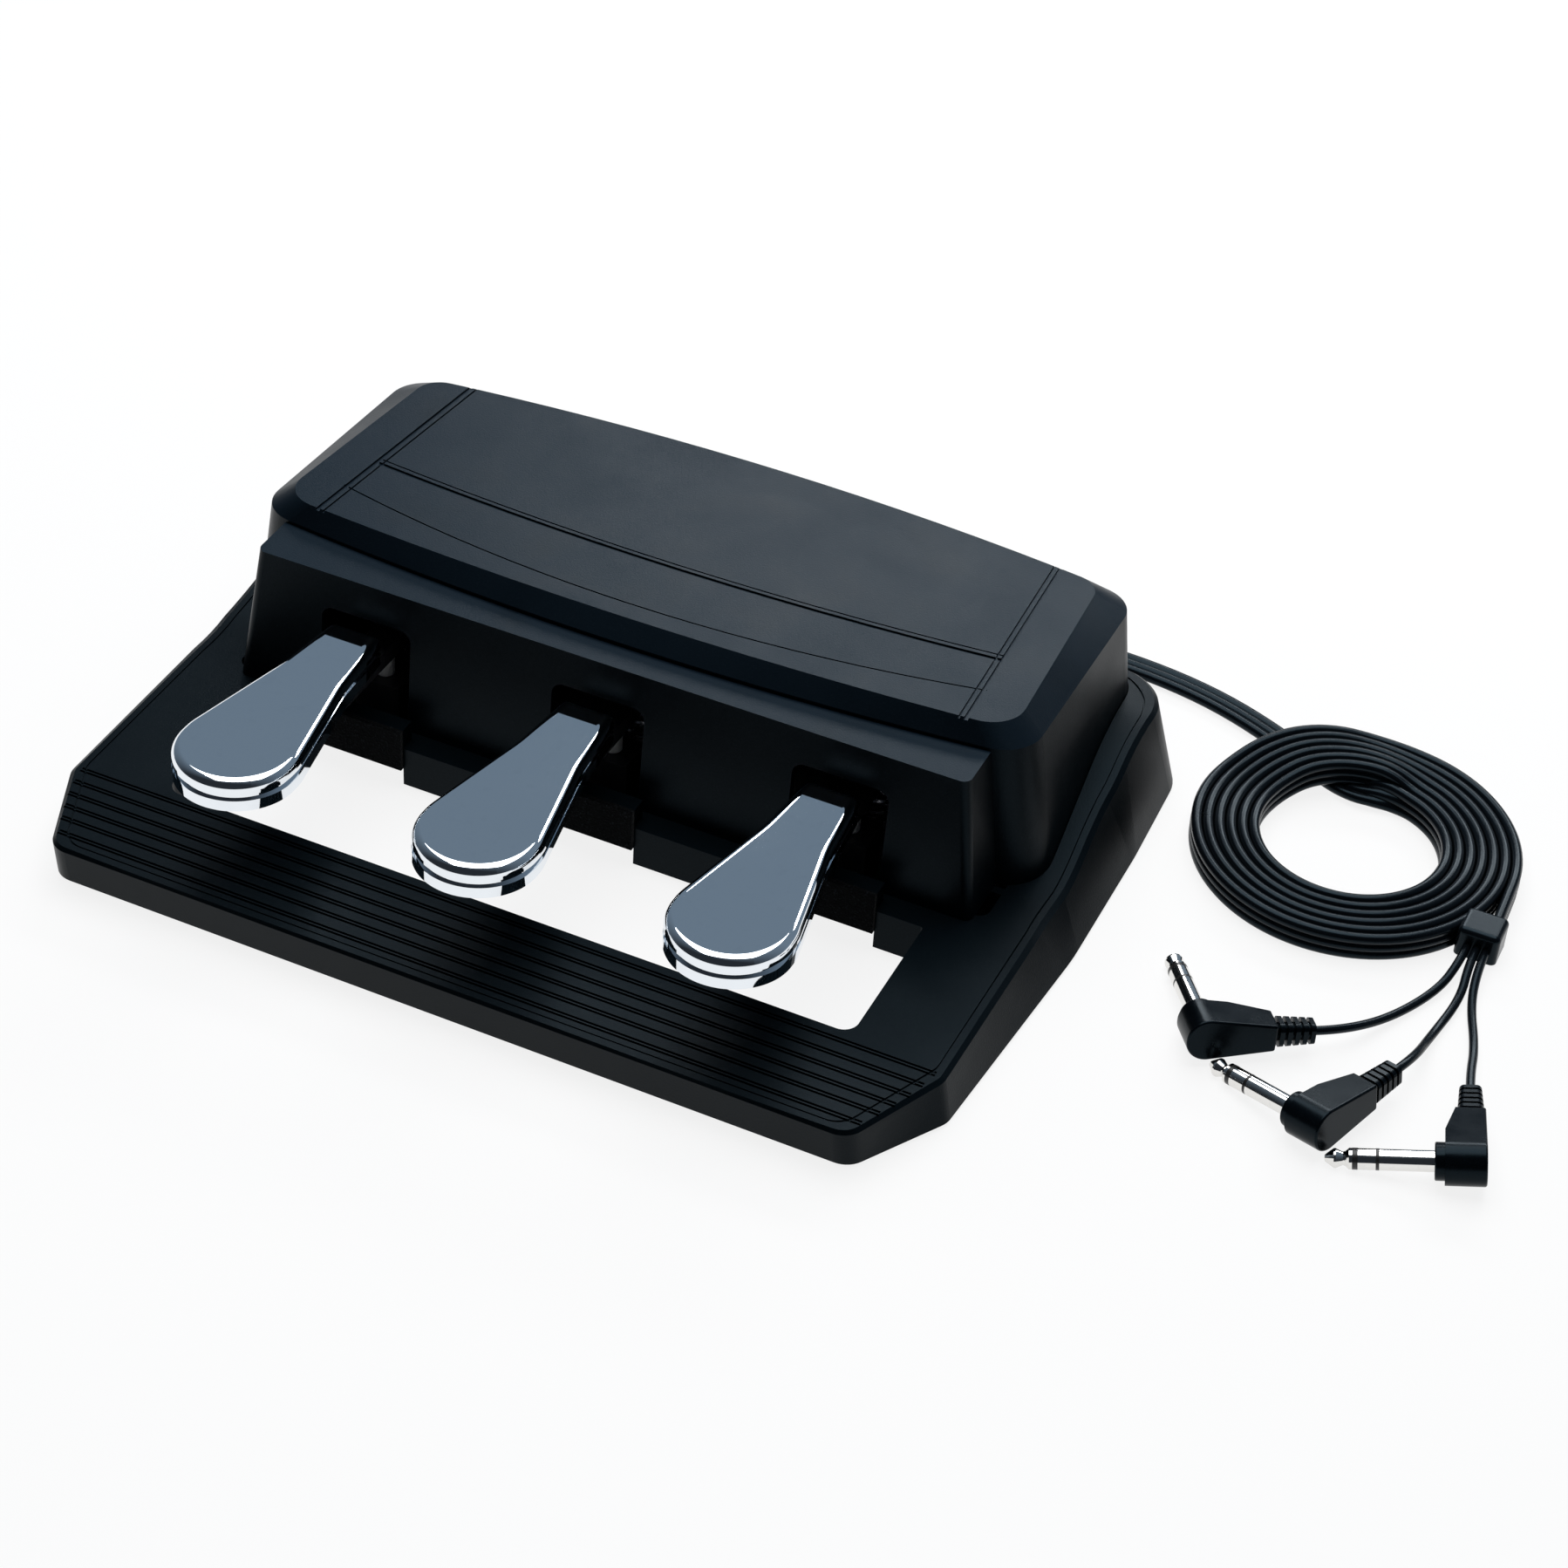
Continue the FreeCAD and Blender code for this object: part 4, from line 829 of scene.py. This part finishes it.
@dataclass
class Studio:
    """Floor, light and camera.

    Attributes:
        floor_size: side of the pale floor.
        floor_middle: where its middle lies, just below the feet.
        floor_colour: its colour.
        floor_glow: share of plain white in what the camera and reflections see of it.
        dark_sky: colour of the world on the camera's side.
        light_sky: colour of the world on the far side.
        sky_span: from where to where the first turns into the second.
        lamps: the lamps.
        focal: the photograph's focal length in pixels.
        pixels: the photograph's side in pixels.
        sensor: the camera's sensor in millimetres.
        near: nearest distance that the camera sees.
        azimuth: the camera's heading in degrees.
        elevation: how far it looks down in degrees.
        roll: its roll in degrees.
        origin: the frame's origin from the camera: right, down and ahead.
    """

    floor_size: float = 40.0
    floor_middle: Point = (0.1, 0.0, -0.4 * MM)
    floor_colour: Colour = (0.88, 0.88, 0.88)
    floor_glow: float = 0.85
    dark_sky: Colour = (0.02, 0.024, 0.03)
    light_sky: Colour = (0.15, 0.20, 0.255)
    sky_span: Span = (-0.5, 0.6)
    lamps: tuple[Lamp, ...] = (
        Lamp("overhead", (-0.1, 0.36, 1.45), (0.05, 0.0, 0.03), (1.4, 1.45), 23.0),
        Lamp("rear_strip", (-0.04, 1.34, 0.86), (0.0, 0.0, 0.03), (1.4, 0.26), 10.5),
    )
    focal: float = 4000.0
    pixels: float = 1798.0
    sensor: float = 36.0
    near: float = 50 * MM
    azimuth: float = 22.58
    elevation: float = 38.98
    roll: float = 3.85
    origin: Point = (-0.0533, 0.0048, 1.1147)

    def camera(self) -> None:
        """Places the camera as the photograph's was."""
        az, el, roll = (math.radians(a) for a in (self.azimuth, self.elevation, self.roll))
        ahead = Vector((-math.sin(az) * math.cos(el), math.cos(az) * math.cos(el), -math.sin(el)))
        right = Vector((math.cos(az), math.sin(az), 0.0))
        down = ahead.cross(right)
        turned_right = right * math.cos(roll) - down * math.sin(roll)
        turned_down = right * math.sin(roll) + down * math.cos(roll)
        place = -(turned_right * self.origin[0] + turned_down * self.origin[1] + ahead * self.origin[2])
        data = bpy.data.cameras.new("camera")
        data.sensor_width = self.sensor
        data.lens = self.focal * self.sensor / self.pixels
        data.clip_start = self.near
        camera = bpy.data.objects.new("camera", data)
        turn = Matrix((turned_right, -turned_down, -ahead)).transposed()
        camera.matrix_world = Matrix.Translation(place) @ turn.to_4x4()
        bpy.context.scene.collection.objects.link(camera)
        bpy.context.scene.camera = camera

    def floor(self) -> None:
        """Lays the pale floor."""
        deselect()
        bpy.ops.mesh.primitive_plane_add(size=self.floor_size, location=self.floor_middle)
        plane = bpy.context.active_object
        plane.name = "floor"
        made = bpy.data.materials.new("pale_floor")
        made.use_nodes = True
        tree = NodeTree(made.node_tree)
        made.node_tree.nodes.remove(made.node_tree.nodes["Principled BSDF"])
        path = tree.add("LightPath").outputs
        seen = tree.calculate("MAXIMUM", path["Is Camera Ray"], path["Is Glossy Ray"])
        seen = tree.calculate("MAXIMUM", seen, path["Is Transmission Ray"])
        share = tree.calculate("MULTIPLY", seen, self.floor_glow)
        matt = tree.add("BsdfDiffuse", {"Color": self.floor_colour}).outputs["BSDF"]
        glow = tree.add("Emission").outputs["Emission"]
        mix = tree.add("MixShader", {"Fac": share, 1: matt, 2: glow}).outputs["Shader"]
        tree.feed(made.node_tree.nodes["Material Output"].inputs["Surface"], mix)
        plane.data.materials.append(made)

    def world(self) -> None:
        """Fills the studio with dim light, darker on the camera's side."""
        world = bpy.data.worlds.new("studio")
        bpy.context.scene.world = world
        world.use_nodes = True
        tree = NodeTree(world.node_tree)
        heading = tree.add("TexCoord").outputs["Generated"]
        depth = tree.add("SeparateXYZ", {"Vector": heading}).outputs["Y"]
        sky = tree.blend(tree.ramp(depth, *self.sky_span), self.dark_sky, self.light_sky)
        tree.feed(world.node_tree.nodes["Background"].inputs["Color"], sky)

    def build(self) -> None:
        """Sets the stage."""
        self.camera()
        self.floor()
        self.world()
        for lamp in self.lamps:
            lamp.hang()
        bpy.context.scene.view_settings.view_transform = "Standard"


def main() -> None:
    """Builds the studio, dresses the nodes and adds the cords."""
    logging.basicConfig(level=logging.INFO, format="%(message)s")
    Studio().build()
    wardrobe = Wardrobe()
    wardrobe.dress_nodes()
    ReturnSprings().build()
    RibbonCable().build(wardrobe)
    for cord in CORDS:
        cord.build(wardrobe)


if __name__ == "__main__":
    main()
